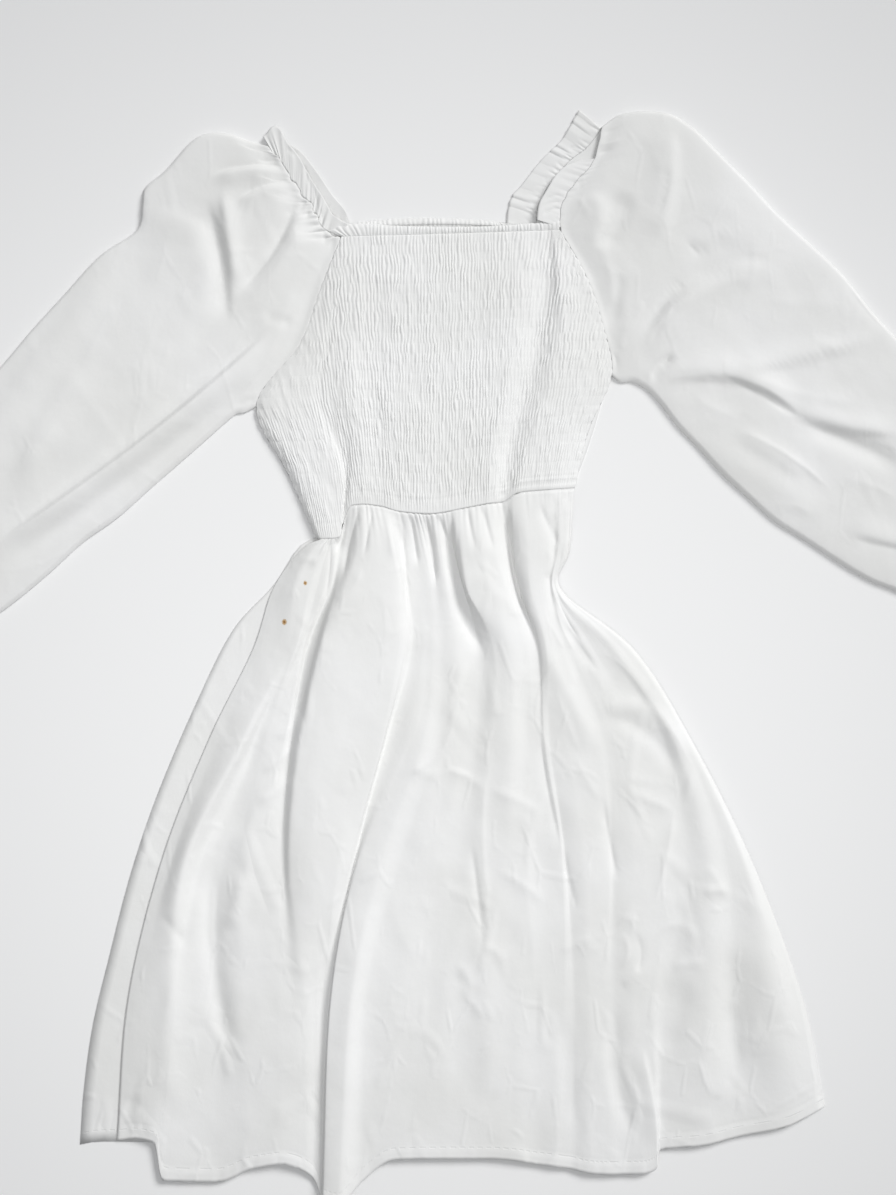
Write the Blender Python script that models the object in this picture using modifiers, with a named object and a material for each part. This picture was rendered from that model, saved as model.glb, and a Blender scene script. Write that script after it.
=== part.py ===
"""Peasant dress laid flat with its front up: a square neck, a smocked bodice, raglan
balloon sleeves with a frill at the neck, and a gathered skirt.

Metres, Z up. X runs across the dress, Y from its hem to its neck, and the surface that
it lies on is Z = 0. Left and right are as seen from above. The tables are in millimetres.
"""
import math

import bmesh
import bpy
import numpy as np

NAME = "peasant_dress"
MM = 0.001
SEW_DISTANCE = 0.00005

COTTON_WALL = 1.1
SMOCKED_WALL = 1.3
CASING_WALL = 1.2
SEAM_GAP = 0.35
FRILL_GAP = 0.75
WAIST_GAP = 0.5
BACK_WALL = 1.2
BACK_ROWS = 10
BACK_COLUMNS = 18

SMOCK_GATHERS = 84
SMOCK_RISE = 1.0
INSIDE_STEP = 4
NECK_GATHERS = 36
NECK_RISE = 0.7
NECK_PROFILE = ((0.0, 4.4), (0.5, 6.0), (1.0, 4.8))
BACK_NECK_GATHERS = 20
BACK_NECK_PROFILE = ((0.0, 1.4), (0.5, 2.0), (1.0, 1.4))
CUFF_DEPTH = 15.0
CUFF_RISE = 0.9
CUFF_PROFILE = ((0.0, 0.93), (0.5, 0.9), (1.0, 0.96))

# One row for each shade band of the smocked front, from its left edge to its right one.
# x at the neck, four levels down and the waist, y at the neck and waist, z at each level.
BODICE_LEVELS = (0.0, 0.18, 0.36, 0.56, 0.78, 1.0)
BODICE_LINES = (
    (-91.0, -108.8, -126.6, -163.2, -136.8, -112.2, 356.8, 100.3, 4.2, 4.2, 4.2, 3.4, 3.4, 4.8),
    (-89.2, -104.5, -120.7, -153.0, -128.3, -108.0, 356.9, 99.5, 5.0, 6.0, 6.0, 6.0, 7.0, 7.0),
    (-86.7, -100.3, -113.9, -136.0, -113.0, -99.5, 357.0, 99.5, 5.0, 7.0, 7.0, 8.5, 9.5, 8.2),
    (-83.3, -95.2, -105.4, -117.3, -91.8, -91.8, 357.1, 101.1, 5.0, 8.0, 9.0, 9.5, 8.5, 7.6),
    (-81.6, -91.8, -102.0, -112.2, -86.7, -88.4, 357.2, 112.2, 5.0, 7.0, 6.5, 4.5, 4.2, 5.4),
    (-78.2, -87.5, -96.9, -106.2, -82.5, -82.5, 357.3, 127.5, 5.0, 8.0, 9.0, 9.0, 9.0, 7.6),
    (-69.7, -76.5, -81.6, -86.7, -71.4, -71.4, 357.5, 128.3, 5.0, 8.5, 9.5, 10.5, 10.5, 8.2),
    (-59.5, -62.9, -64.6, -66.3, -56.9, -56.9, 357.8, 128.3, 5.0, 6.5, 6.5, 7.0, 7.5, 7.6),
    (-45.0, -45.9, -45.9, -45.9, -42.5, -42.5, 358.1, 121.5, 5.0, 8.0, 8.5, 9.5, 9.5, 8.2),
    (-15.3, -15.3, -15.3, -17.0, -15.3, -15.3, 358.9, 120.7, 5.0, 8.0, 9.0, 10.0, 9.5, 8.2),
    (18.7, 18.7, 18.7, 17.0, 15.3, 15.3, 359.9, 125.8, 5.0, 8.0, 9.5, 10.5, 10.0, 8.2),
    (56.9, 56.1, 54.4, 48.4, 37.4, 33.1, 361.2, 129.2, 5.0, 9.5, 10.5, 11.0, 10.5, 8.2),
    (85.8, 84.1, 79.0, 68.8, 53.5, 46.8, 362.2, 130.9, 4.3, 5.0, 5.0, 5.0, 4.3, 5.2),
    (89.2, 95.2, 96.9, 89.2, 74.0, 59.5, 362.4, 138.5, 5.0, 8.5, 9.5, 9.5, 9.0, 8.2),
    (91.8, 106.2, 113.9, 115.6, 96.9, 86.7, 362.4, 141.1, 5.0, 7.0, 7.5, 7.5, 8.0, 8.0),
    (95.2, 117.3, 130.9, 139.4, 119.0, 108.0, 362.6, 142.8, 4.2, 4.2, 4.2, 3.4, 3.4, 4.8),
)
BODICE_DOWN = (2, 2, 2, 2, 2)
ARMHOLE_LEVEL = 3
FINE_STEPS = 24

# One row for each fold line of the skirt front, from its left edge to its right one.
# x at the waist, six levels down and the hem, y at the hem, z at each level.
SKIRT_LEVELS = (
    (90.1, 56.1, 5.1, -71.4, -173.4, -292.4),
)
SKIRT_LINES = (
    (-108.0, -125.8, -149.6, -166.6, -204.0, -243.9, -272.8, -282.2, -413.1, 3.0, 3.0, 3.0, 3.0, 3.0, 3.0, 3.0, 3.0),
    (-106.2, -123.2, -144.5, -159.8, -195.5, -235.4, -262.6, -266.1, -410.6, 5.0, 6.0, 6.0, 6.0, 6.0, 7.0, 6.0, 5.0),
    (-103.7, -113.9, -129.2, -138.5, -174.2, -222.7, -239.7, -249.9, -413.9, 6.0, 9.0, 10.0, 9.0, 12.0, 13.0, 8.0, 6.0),
    (-101.1, -107.1, -119.0, -130.0, -164.0, -208.2, -226.1, -242.2, -446.2, 6.0, 9.0, 10.0, 10.0, 5.0, 4.0, 6.0, 5.0),
    (-99.5, -102.8, -111.3, -125.8, -153.8, -192.1, -199.8, -198.0, -447.9, 6.0, 8.0, 9.0, 9.0, 6.0, 3.5, 4.0, 4.0),
    (-97.8, -99.5, -106.2, -123.2, -142.8, -168.3, -172.5, -166.6, -436.1, 6.0, 8.0, 9.0, 9.0, 8.0, 8.0, 8.0, 6.0),
    (-95.2, -95.2, -100.3, -120.7, -132.6, -141.9, -142.8, -140.2, -431.8, 5.0, 7.0, 9.0, 9.0, 8.0, 7.0, 9.0, 7.0),
    (-90.1, -92.6, -98.6, -115.6, -130.9, -139.4, -132.6, -128.3, -435.2, 3.6, 4.2, 4.4, 4.2, 4.2, 6.0, 8.0, 6.0),
    (-81.6, -86.7, -96.0, -106.2, -123.2, -134.3, -122.4, -120.7, -439.4, 5.0, 6.0, 9.0, 10.0, 11.0, 12.0, 8.0, 5.0),
    (-76.5, -76.5, -86.7, -96.0, -107.1, -113.0, -112.2, -113.9, -446.2, 6.0, 12.0, 13.0, 14.0, 14.0, 15.0, 6.0, 3.0),
    (-67.1, -62.9, -66.3, -73.1, -83.3, -93.5, -106.2, -110.5, -453.9, 6.0, 14.0, 15.0, 15.0, 14.0, 14.0, 4.2, 3.4),
    (-54.4, -45.9, -39.1, -39.1, -54.4, -82.5, -102.8, -108.8, -460.7, 6.0, 14.0, 14.0, 13.0, 13.0, 9.0, 4.2, 3.4),
    (-45.9, -39.9, -34.9, -32.3, -53.5, -79.0, -100.3, -108.0, -463.2, 4.0, 4.4, 4.4, 5.0, 5.2, 4.8, 4.6, 3.6),
    (-39.9, -31.4, -23.8, -20.4, -34.0, -76.5, -99.5, -106.2, -464.9, 5.0, 4.0, 5.0, 7.0, 10.0, 9.0, 11.0, 9.0),
    (-29.8, -20.4, -15.3, -13.6, -22.1, -57.8, -83.3, -93.5, -468.3, 5.0, 8.0, 9.0, 9.0, 10.0, 12.0, 12.0, 11.0),
    (-22.9, -15.3, -10.2, -5.1, -8.5, -39.1, -68.8, -73.1, -447.1, 4.0, 5.0, 7.0, 8.0, 8.0, 8.0, 7.0, 5.0),
    (-11.9, -6.0, -1.7, 6.0, 6.0, -13.6, -39.1, -45.9, -428.4, 5.0, 9.0, 9.0, 9.0, 9.0, 8.0, 8.0, 6.0),
    (0.0, 4.2, 13.6, 25.5, 22.9, 8.5, -6.8, -15.3, -427.6, 4.0, 4.3, 4.4, 4.4, 8.0, 7.0, 8.0, 6.0),
    (7.6, 7.6, 16.1, 39.9, 37.4, 25.5, 12.8, 10.2, -427.6, 6.0, 12.0, 12.0, 10.0, 10.0, 8.0, 7.0, 6.0),
    (19.6, 22.9, 34.0, 51.0, 52.7, 45.9, 37.4, 35.7, -427.6, 6.0, 13.0, 13.0, 12.0, 10.0, 8.0, 8.0, 6.0),
    (33.1, 38.2, 49.3, 65.5, 67.1, 62.9, 56.9, 56.9, -429.2, 6.0, 11.0, 10.0, 9.0, 8.0, 8.0, 8.0, 6.0),
    (46.8, 53.5, 61.2, 75.6, 78.2, 82.5, 79.0, 75.6, -432.6, 4.0, 4.3, 4.3, 5.0, 7.0, 7.0, 7.0, 5.0),
    (55.2, 56.1, 62.0, 79.0, 82.5, 97.8, 100.3, 91.8, -434.3, 6.0, 12.0, 11.0, 9.0, 8.5, 9.0, 8.0, 6.0),
    (62.9, 67.1, 69.7, 83.3, 85.8, 99.5, 106.2, 105.4, -436.9, 7.0, 12.0, 12.0, 11.0, 6.0, 5.0, 5.0, 4.0),
    (74.8, 78.2, 77.3, 88.4, 100.3, 116.5, 120.7, 122.4, -440.3, 7.0, 11.0, 11.0, 10.0, 9.0, 9.0, 8.0, 6.0),
    (85.0, 85.8, 83.3, 95.2, 125.8, 136.8, 133.4, 139.4, -441.1, 6.0, 9.0, 9.0, 8.0, 9.0, 9.0, 8.0, 6.0),
    (91.0, 90.1, 86.7, 102.0, 133.4, 140.2, 141.1, 151.3, -441.1, 6.0, 7.0, 7.0, 7.0, 7.0, 4.5, 5.0, 4.0),
    (96.0, 93.5, 89.2, 112.2, 147.9, 158.1, 158.1, 167.4, -440.3, 6.0, 8.0, 8.0, 7.0, 8.0, 9.0, 8.0, 6.0),
    (99.5, 96.9, 91.8, 125.0, 167.4, 183.6, 173.4, 177.7, -435.2, 5.0, 7.0, 6.0, 5.0, 6.0, 9.0, 9.0, 6.0),
    (101.1, 99.5, 92.6, 133.4, 181.9, 201.4, 185.3, 180.2, -420.8, 5.0, 6.0, 6.0, 6.0, 6.0, 7.0, 4.0, 3.0),
    (102.8, 101.1, 94.3, 141.9, 192.1, 221.0, 217.6, 215.9, -416.5, 4.0, 5.0, 5.0, 7.0, 8.0, 9.0, 9.0, 6.0),
    (104.5, 102.0, 95.2, 148.8, 199.8, 238.0, 245.7, 248.2, -408.8, 4.0, 4.0, 4.0, 6.0, 7.0, 7.0, 5.0, 4.0),
    (105.4, 102.8, 96.0, 154.7, 204.0, 249.9, 280.5, 287.3, -400.3, 3.0, 4.0, 3.5, 5.0, 6.0, 7.0, 8.0, 6.0),
    (107.1, 103.7, 96.9, 158.9, 207.4, 258.4, 302.6, 321.3, -384.2, 3.0, 3.0, 3.0, 3.0, 3.0, 3.0, 3.0, 3.0),
)
SKIRT_DOWN = (1, 1, 1, 2, 2, 3, 3)
SKIRT_ACROSS = 2
WAIST_TUCK = 1.9

SKIRT_BACK_LEFT = (
    (-108.8, 102.8),
    (-127.5, 92.6),
    (-148.8, 60.4),
    (-182.8, 22.9),
    (-213.3, -37.4),
    (-247.3, -117.3),
    (-270.3, -185.3),
    (-289.0, -257.6),
    (-302.6, -314.5),
    (-310.2, -368.9),
    (-313.6, -416.5),
)
SKIRT_BACK_RIGHT = (
    (102.8, 139.4),
    (97.8, 98.6),
    (90.1, 56.1),
    (129.2, 22.9),
    (180.2, -37.4),
    (219.3, -105.4),
    (251.6, -173.4),
    (278.8, -241.4),
    (300.9, -309.4),
    (314.5, -373.1),
)
SKIRT_BACK_HEM = (
    (-313.6, -416.5),
    (-280.5, -413.9),
    (-125.8, -419.9),
    (44.2, -417.3),
    (171.7, -411.4),
    (314.5, -373.1),
)

BODICE_BACK_TOP = (
    (-79.0, 360.4),
    (1.7, 363.8),
    (78.2, 361.2),
)
BACK_RAGLAN_LEFT = (
    (-79.0, 360.4),
    (-107.1, 285.6),
    (-157.2, 217.6),
)
BACK_SIDE_LEFT = (
    (-157.2, 217.6),
    (-140.2, 175.1),
    (-115.6, 115.6),
    (-108.8, 102.8),
)
BACK_RAGLAN_RIGHT = (
    (78.2, 361.2),
    (110.5, 285.6),
    (136.0, 234.6),
)
BACK_SIDE_RIGHT = (
    (136.0, 234.6),
    (124.1, 192.1),
    (112.2, 158.1),
    (102.8, 139.4),
)
BACK_ARMHOLE = 4
BACK_WAIST = (
    (-108.8, 102.8),
    (-57.8, 112.2),
    (1.7, 120.7),
    (102.8, 139.4),
)

NECK_FRONT_TOP = (
    (-97.8, 363.8),
    (-85.8, 368.1),
    (-39.9, 367.2),
    (1.7, 366.3),
    (40.8, 367.2),
    (83.3, 369.8),
    (91.8, 371.4),
)
NECK_BACK_TOP = (
    (-77.3, 369.8),
    (-61.2, 371.4),
    (-39.9, 373.1),
    (-6.8, 373.1),
    (28.1, 371.4),
    (46.8, 369.8),
)

# Outlines and neck edges of the sleeves, from the body outwards.
LEFT_SLEEVE_TOP = (
    (-153.0, 433.5),
    (-172.5, 438.6),
    (-185.3, 443.7),
    (-204.0, 444.6),
    (-219.3, 436.9),
    (-240.5, 413.1),
    (-257.6, 398.6),
    (-260.1, 384.2),
    (-265.2, 362.1),
    (-296.6, 340.0),
    (-327.2, 306.8),
    (-353.6, 277.9),
    (-380.8, 245.7),
    (-431.8, 187.8),
    (-491.3, 130.0),
    (-542.3, 85.0),
    (-578.0, 56.1),
)
LEFT_SLEEVE_UNDER = (
    (-164.0, 218.4),
    (-171.7, 221.0),
    (-181.9, 211.7),
    (-204.0, 187.0),
    (-219.3, 173.4),
    (-251.6, 145.3),
    (-282.2, 118.1),
    (-311.9, 96.9),
    (-341.7, 69.7),
    (-380.8, 38.2),
    (-423.3, 11.9),
    (-470.1, -5.1),
    (-508.3, -11.9),
    (-537.2, -7.6),
)
LEFT_NECK_GATHER = (
    (-94.3, 356.1),
    (-103.7, 362.1),
    (-111.3, 373.1),
    (-117.3, 385.1),
    (-124.1, 392.7),
    (-131.8, 403.8),
    (-137.7, 413.1),
    (-143.7, 422.4),
    (-153.0, 433.5),
)
LEFT_BACK_NECK = (
    (-80.8, 360.4),
    (-89.2, 368.1),
    (-99.5, 377.4),
    (-108.0, 387.6),
    (-115.6, 397.8),
    (-123.2, 410.6),
    (-130.9, 421.6),
    (-139.4, 429.2),
    (-153.0, 433.5),
)
RIGHT_SLEEVE_TOP = (
    (130.9, 449.6),
    (145.3, 459.8),
    (163.2, 463.2),
    (181.9, 462.4),
    (194.7, 458.1),
    (211.7, 446.2),
    (229.5, 428.4),
    (256.7, 401.2),
    (280.5, 375.7),
    (304.3, 353.6),
    (325.6, 334.1),
    (340.0, 318.8),
    (361.2, 291.6),
    (380.8, 270.3),
    (426.7, 219.3),
    (477.7, 168.3),
    (524.4, 125.8),
    (568.6, 88.4),
)
RIGHT_SLEEVE_UNDER = (
    (141.1, 238.0),
    (157.2, 235.4),
    (170.8, 228.7),
    (181.9, 214.2),
    (196.3, 195.5),
    (214.2, 176.8),
    (235.4, 153.8),
    (256.7, 134.3),
    (278.8, 114.8),
    (301.8, 100.3),
    (340.0, 75.6),
    (361.2, 63.8),
    (380.8, 56.1),
    (422.4, 37.4),
    (469.2, 22.9),
    (503.2, 19.6),
    (527.9, 24.6),
)
RIGHT_NECK_GATHER = (
    (97.8, 363.8),
    (95.2, 373.1),
    (96.9, 383.3),
    (101.1, 392.7),
    (108.0, 402.1),
    (116.5, 411.4),
    (124.1, 421.6),
    (127.5, 434.3),
    (130.9, 449.6),
)
RIGHT_BACK_NECK = (
    (79.0, 361.2),
    (75.6, 369.8),
    (76.5, 380.8),
    (80.8, 391.8),
    (86.7, 402.1),
    (95.2, 412.2),
    (105.4, 423.3),
    (119.0, 433.5),
    (130.9, 449.6),
)

# Free edges of the frills at the neck, from the bodice to the shoulder, and their heights.
LEFT_FRONT_FRILL = (
    (-100.3, 366.3, 4.2),
    (-102.0, 379.9, 4.8),
    (-108.0, 392.7, 6.0),
    (-115.6, 404.6, 5.0),
    (-123.2, 418.2, 6.5),
    (-129.2, 428.4, 6.0),
    (-136.0, 436.1, 8.0),
    (-146.2, 451.3, 9.0),
    (-157.2, 442.0, 7.0),
)
LEFT_BACK_FRILL = (
    (-83.3, 368.9, 1.4),
    (-89.2, 381.6, 2.0),
    (-98.6, 392.7, 1.4),
    (-108.0, 407.1, 2.0),
    (-117.3, 419.9, 1.5),
    (-125.0, 429.2, 2.0),
    (-133.4, 435.2, 1.5),
)
RIGHT_FRONT_FRILL = (
    (76.5, 374.8, 4.6),
    (78.2, 385.1, 5.5),
    (84.1, 396.1, 6.0),
    (91.8, 408.8, 6.0),
    (100.3, 416.5, 5.0),
    (113.0, 421.6, 4.6),
)
RIGHT_BACK_FRILL = (
    (50.1, 368.9, 1.4),
    (51.0, 379.9, 2.0),
    (55.2, 392.7, 1.4),
    (64.6, 403.8, 2.0),
    (74.8, 417.3, 1.5),
    (83.3, 426.7, 2.0),
    (93.5, 436.1, 2.0),
    (101.1, 446.2, 2.6),
    (111.3, 463.2, 3.0),
)
FRONT_FRILL_HEIGHT = 4.6
FRONT_FRILL_RISE = 1.3
BACK_FRILL_RISE = 0.8
FRILL_WALL = 1.0
# The shares of a sleeve's neck edge that its front and back frills are gathered on to.
LEFT_FRILL_SPANS = ((0.08, 0.93), (0.02, 0.78))
RIGHT_FRILL_SPANS = ((0.15, 0.72), (0.02, 0.8))
FRILL_WAVES = 3

# Folds of the sleeves: start, end, bow to its left, rise, and how wide each side is.
LEFT_SLEEVE_FOLDS = (
    (-200.6, 383.3, -178.5, 264.3, 6.0, -3.4, 5.0, 9.0),
    (-190.4, 383.3, -170.8, 272.8, 4.0, 3.6, 4.0, 14.0),
    (-229.5, 375.7, -194.7, 292.4, -8.0, 3.8, 14.0, 5.0),
    (-139.4, 419.1, -206.5, 406.3, 3.0, 3.0, 3.0, 16.0),
    (-134.3, 402.9, -181.0, 385.1, 2.0, -1.8, 4.0, 9.0),
    (-125.8, 381.6, -178.5, 302.6, -4.0, 2.6, 14.0, 7.0),
    (-154.7, 272.0, -397.8, 79.9, 3.0, 2.6, 16.0, 5.0),
    (-163.2, 258.4, -397.8, 64.6, 3.0, -1.8, 8.0, 8.0),
    (-156.4, 289.0, -132.6, 282.2, 1.0, -1.2, 3.0, 5.0),
    (-278.8, 345.1, -431.8, 132.6, 6.0, 2.2, 30.0, 26.0),
    (-431.8, 149.6, -542.3, 47.6, 4.0, 3.0, 10.0, 8.0),
    (-457.3, 81.6, -550.8, 13.6, -4.0, 2.6, 9.0, 7.0),
)
RIGHT_SLEEVE_FOLDS = (
    (187.0, 453.9, 171.7, 343.4, -4.0, 3.2, 14.0, 8.0),
    (153.0, 394.4, 129.2, 343.4, 3.0, -2.2, 8.0, 8.0),
    (166.6, 261.8, 273.7, 331.5, 14.0, 3.0, 16.0, 6.0),
    (171.7, 231.2, 193.8, 258.4, 1.0, -1.8, 4.0, 6.0),
    (180.2, 232.9, 367.2, 192.1, 6.0, 3.8, 12.0, 5.0),
    (273.7, 209.1, 388.4, 161.5, -3.0, -2.2, 6.0, 9.0),
    (239.7, 236.3, 334.9, 263.5, 4.0, 2.2, 10.0, 6.0),
    (243.1, 192.1, 304.3, 153.0, 3.0, 1.8, 10.0, 8.0),
    (337.4, 108.8, 435.2, 85.0, 2.0, 2.4, 12.0, 6.0),
    (204.0, 349.3, 246.5, 362.9, 1.0, 1.6, 5.0, 8.0),
    (316.2, 265.2, 362.1, 278.8, -2.0, 1.5, 5.0, 8.0),
    (409.7, 158.1, 537.2, 73.1, 4.0, 3.0, 10.0, 8.0),
    (435.2, 98.6, 520.2, 47.6, -4.0, 2.6, 9.0, 7.0),
)
SLEEVE_EDGE_TOP = 3.5
RING_MIDDLE = 2.0
SLEEVE_PUFF = 3.6
SLEEVE_FRONT_NECK = 10
SLEEVE_BACK_NECK = 6
SLEEVE_SECTIONS = (0.0, 0.03, 0.08, 0.14, 0.2, 0.27, 0.34, 0.41, 0.48, 0.55, 0.62, 0.7, 0.78, 0.86, 0.93, 1.0)
SLEEVE_EDGE_ROUND = 1.5
SLEEVE_CROWN = 0.8
SLEEVE_PUFF_FROM = 0.06
SLEEVE_FOLDS_FROM = 0.03
FOLD_FADE = 0.3
FOLD_END = 0.15


def refine(values, steps, monotone):
    """Return a smooth curve through the rows of a table, with new rows in each gap."""
    values = np.asarray(values, float)
    step = np.diff(values, axis=0)
    slope = np.zeros_like(values)
    slope[0] = step[0]
    slope[-1] = step[-1]
    before = step[:-1]
    after = step[1:]
    if monotone:
        rising = before * after > 0
        total = np.where(rising, before + after, 1.0)
        slope[1:-1] = np.where(rising, 2 * before * after / total, 0.0)
    else:
        slope[1:-1] = (before + after) / 2
    rows = []
    for gap, count in enumerate(steps):
        for part in range(count):
            u = part / count
            rows.append(
                values[gap] * (2 * u**3 - 3 * u**2 + 1)
                + slope[gap] * (u**3 - 2 * u**2 + u)
                + values[gap + 1] * (3 * u**2 - 2 * u**3)
                + slope[gap + 1] * (u**3 - u**2)
            )
    rows.append(values[-1])
    return np.array(rows)


def trace(points, fractions):
    """Return points at fractions of the length of a smooth curve through a table."""
    points = np.asarray(points, float)
    fine = refine(points, [8] * (len(points) - 1), False)
    return resample(fine, fractions)


def resample(points, fractions):
    """Return points at fractions of the length of a line of straight pieces."""
    lengths = np.linalg.norm(np.diff(points[:, :2], axis=0), axis=1)
    run = np.concatenate(([0.0], np.cumsum(lengths)))
    run = run / run[-1]
    return np.stack([np.interp(fractions, run, points[:, axis]) for axis in range(points.shape[1])], axis=1)


def outward(points, distance, sign):
    """Move a line sideways in plan, to its left where the sign is positive."""
    along = np.gradient(points[:, :2], axis=0)
    along /= np.linalg.norm(along, axis=1, keepdims=True)
    side = np.stack([-along[:, 1], along[:, 0]], axis=1)
    moved = points.copy()
    moved[:, :2] += sign * distance * side
    return moved


def patch(low, high, start, end, down, across):
    """Return a Coons patch between four edges, indexed by down and across."""
    v = np.asarray(down)[:, None, None]
    u = np.asarray(across)[None, :, None]
    corner = (
        (1 - u) * (1 - v) * start[0]
        + u * (1 - v) * start[-1]
        + (1 - u) * v * end[0]
        + u * v * end[-1]
    )
    return (
        (1 - u) * low[:, None, :]
        + u * high[:, None, :]
        + (1 - v) * start[None, :, :]
        + v * end[None, :, :]
        - corner
    )


def relief(x, y, table):
    """Return the height that a table of folds adds at points of the plan."""
    total = np.zeros_like(x)
    for from_x, from_y, to_x, to_y, bow, rise, left, right in table:
        length = math.hypot(to_x - from_x, to_y - from_y)
        along_x = (to_x - from_x) / length
        along_y = (to_y - from_y) / length
        run = ((x - from_x) * along_x + (y - from_y) * along_y) / length
        side = (y - from_y) * along_x - (x - from_x) * along_y
        inside = np.clip(run, 0.0, 1.0)
        side = side - bow * 4 * inside * (1 - inside)
        wide = np.where(side > 0, left, right)
        fade = np.clip(np.minimum(run, 1 - run) / FOLD_FADE + FOLD_END, 0.0, 1.0)
        fade = fade * fade * (3 - 2 * fade)
        total += rise * fade * np.exp(-((side / wide) ** 2))
    return total


def bodice_front_points(columns_wanted):
    """Return the smocked front without its gathers, indexed by down and across."""
    columns = []
    for row in BODICE_LINES:
        top = row[6]
        bottom = row[7]
        y = top + (bottom - top) * np.array(BODICE_LEVELS)
        columns.append(np.stack([row[0:6], y, row[8:14]], axis=1))
    fine = refine(columns, [FINE_STEPS] * (len(columns) - 1), True)
    return even_across(refine(fine.transpose(1, 0, 2), BODICE_DOWN, False), columns_wanted)


def even_across(grid, count):
    """Space the columns of a grid evenly along its middle row."""
    middle = grid[len(grid) // 2]
    lengths = np.linalg.norm(np.diff(middle[:, :2], axis=0), axis=1)
    run = np.concatenate(([0.0], np.cumsum(lengths))) / lengths.sum()
    places = np.interp(np.linspace(0, 1, count + 1), run, np.arange(len(middle)))
    low = np.minimum(np.floor(places).astype(int), len(middle) - 2)
    part = (places - low)[None, :, None]
    return grid[:, low] * (1 - part) + grid[:, low + 1] * part


def new_object(name, mesh, collection):
    """Link a smooth object that carries a mesh."""
    for polygon in mesh.polygons:
        polygon.use_smooth = True
    piece = bpy.data.objects.new(name, mesh)
    collection.objects.link(piece)
    return piece


def cloth_grid(name, grid, collection, wall, ring=False):
    """Make a grid of points into a sheet, or a tube where it is a ring, and give it a wall."""
    rows, columns = grid.shape[:2]
    form = bmesh.new()
    bmesh.ops.create_grid(form, x_segments=columns - 1, y_segments=rows - 1, size=1)
    form.verts.ensure_lookup_table()
    order = sorted(form.verts, key=lambda vert: (round(-vert.co.y, 5), round(vert.co.x, 5)))
    points = grid.reshape(-1, 3) * MM
    for vert, point in zip(order, points):
        vert.co = point
    if ring:
        bmesh.ops.remove_doubles(form, verts=form.verts, dist=SEW_DISTANCE)
    bmesh.ops.recalc_face_normals(form, faces=form.faces)
    upper = [face for face in form.faces if not ring or face.calc_center_median().z > RING_MIDDLE * MM]
    if sum(face.normal.z * face.calc_area() for face in upper) < 0:
        bmesh.ops.reverse_faces(form, faces=form.faces)
    mesh = bpy.data.meshes.new(name)
    form.to_mesh(mesh)
    form.free()
    piece = new_object(name, mesh, collection)
    solid = piece.modifiers.new("Wall", "SOLIDIFY")
    solid.thickness = wall * MM
    solid.offset = -1.0
    solid.use_even_offset = True
    return piece


def gathered_panel(name, base, collection, wall, rise):
    """Make a panel whose gathers stand on its outer side over a plain inner one.

    With no wall given, the inner side lies flat on the surface below.
    """
    rows, columns = base.shape[:2]
    outer = base.copy()
    wave = (np.arange(columns) % 2).astype(float)
    outer[:, 1:-1, 2] += rise * wave[None, 1:-1]
    inner = base[:, ::INSIDE_STEP].copy()
    inner[:, :, 2] = inner[:, :, 2] - wall if wall else 0.0
    form = bmesh.new()
    top = [[form.verts.new(point * MM) for point in line] for line in outer]
    low = [[form.verts.new(point * MM) for point in line] for line in inner]
    for row in range(rows - 1):
        for column in range(columns - 1):
            form.faces.new((top[row][column], top[row][column + 1], top[row + 1][column + 1], top[row + 1][column]))
        for column in range(len(low[0]) - 1):
            form.faces.new((low[row][column], low[row + 1][column], low[row + 1][column + 1], low[row][column + 1]))
        form.faces.new((top[row][0], top[row + 1][0], low[row + 1][0], low[row][0]))
        form.faces.new((top[row][-1], low[row][-1], low[row + 1][-1], top[row + 1][-1]))
    for row in (0, rows - 1):
        for column in range(len(low[0]) - 1):
            first = column * INSIDE_STEP
            edge = top[row][first:first + INSIDE_STEP + 1]
            form.faces.new(edge + [low[row][column + 1], low[row][column]])
    bmesh.ops.recalc_face_normals(form, faces=form.faces)
    bmesh.ops.triangulate(form, faces=[face for face in form.faces if len(face.verts) > 4])
    mesh = bpy.data.meshes.new(name)
    form.to_mesh(mesh)
    form.free()
    return new_object(name, mesh, collection)


def flat_sheet(name, plan, collection, wall):
    """Make a sheet that lies flat on the surface from the points of its plan."""
    height = np.full(plan.shape[:2] + (1,), wall)
    return cloth_grid(name, np.concatenate([plan, height], axis=2), collection, wall)


def cloth_material(name, colour, roughness):
    """Return a plain cloth material."""
    material = bpy.data.materials.new(name)
    material.use_nodes = True
    shader = material.node_tree.nodes["Principled BSDF"]
    shader.inputs["Base Color"].default_value = colour
    shader.inputs["Roughness"].default_value = roughness
    shader.inputs["Metallic"].default_value = 0.0
    material.diffuse_color = colour
    return material


def make_bodice(collection):
    """Make the smocked front over the plain back, and return the points of both."""
    front = bodice_front_points(SMOCK_GATHERS * 2)
    gathered_panel("bodice_front", front, collection, SMOCKED_WALL, SMOCK_RISE)
    down = np.linspace(0, 1, 2 * BACK_ARMHOLE + 1)
    half = np.linspace(0, 1, BACK_ARMHOLE + 1)
    across = np.linspace(0, 1, BACK_COLUMNS + 1)
    back = patch(
        np.concatenate([trace(BACK_RAGLAN_LEFT, half)[:-1], trace(BACK_SIDE_LEFT, half)]),
        np.concatenate([trace(BACK_RAGLAN_RIGHT, half)[:-1], trace(BACK_SIDE_RIGHT, half)]),
        trace(BODICE_BACK_TOP, across),
        trace(BACK_WAIST, across),
        down,
        across,
    )
    flat_sheet("bodice_back", back, collection, SMOCKED_WALL)
    return front, back


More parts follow.
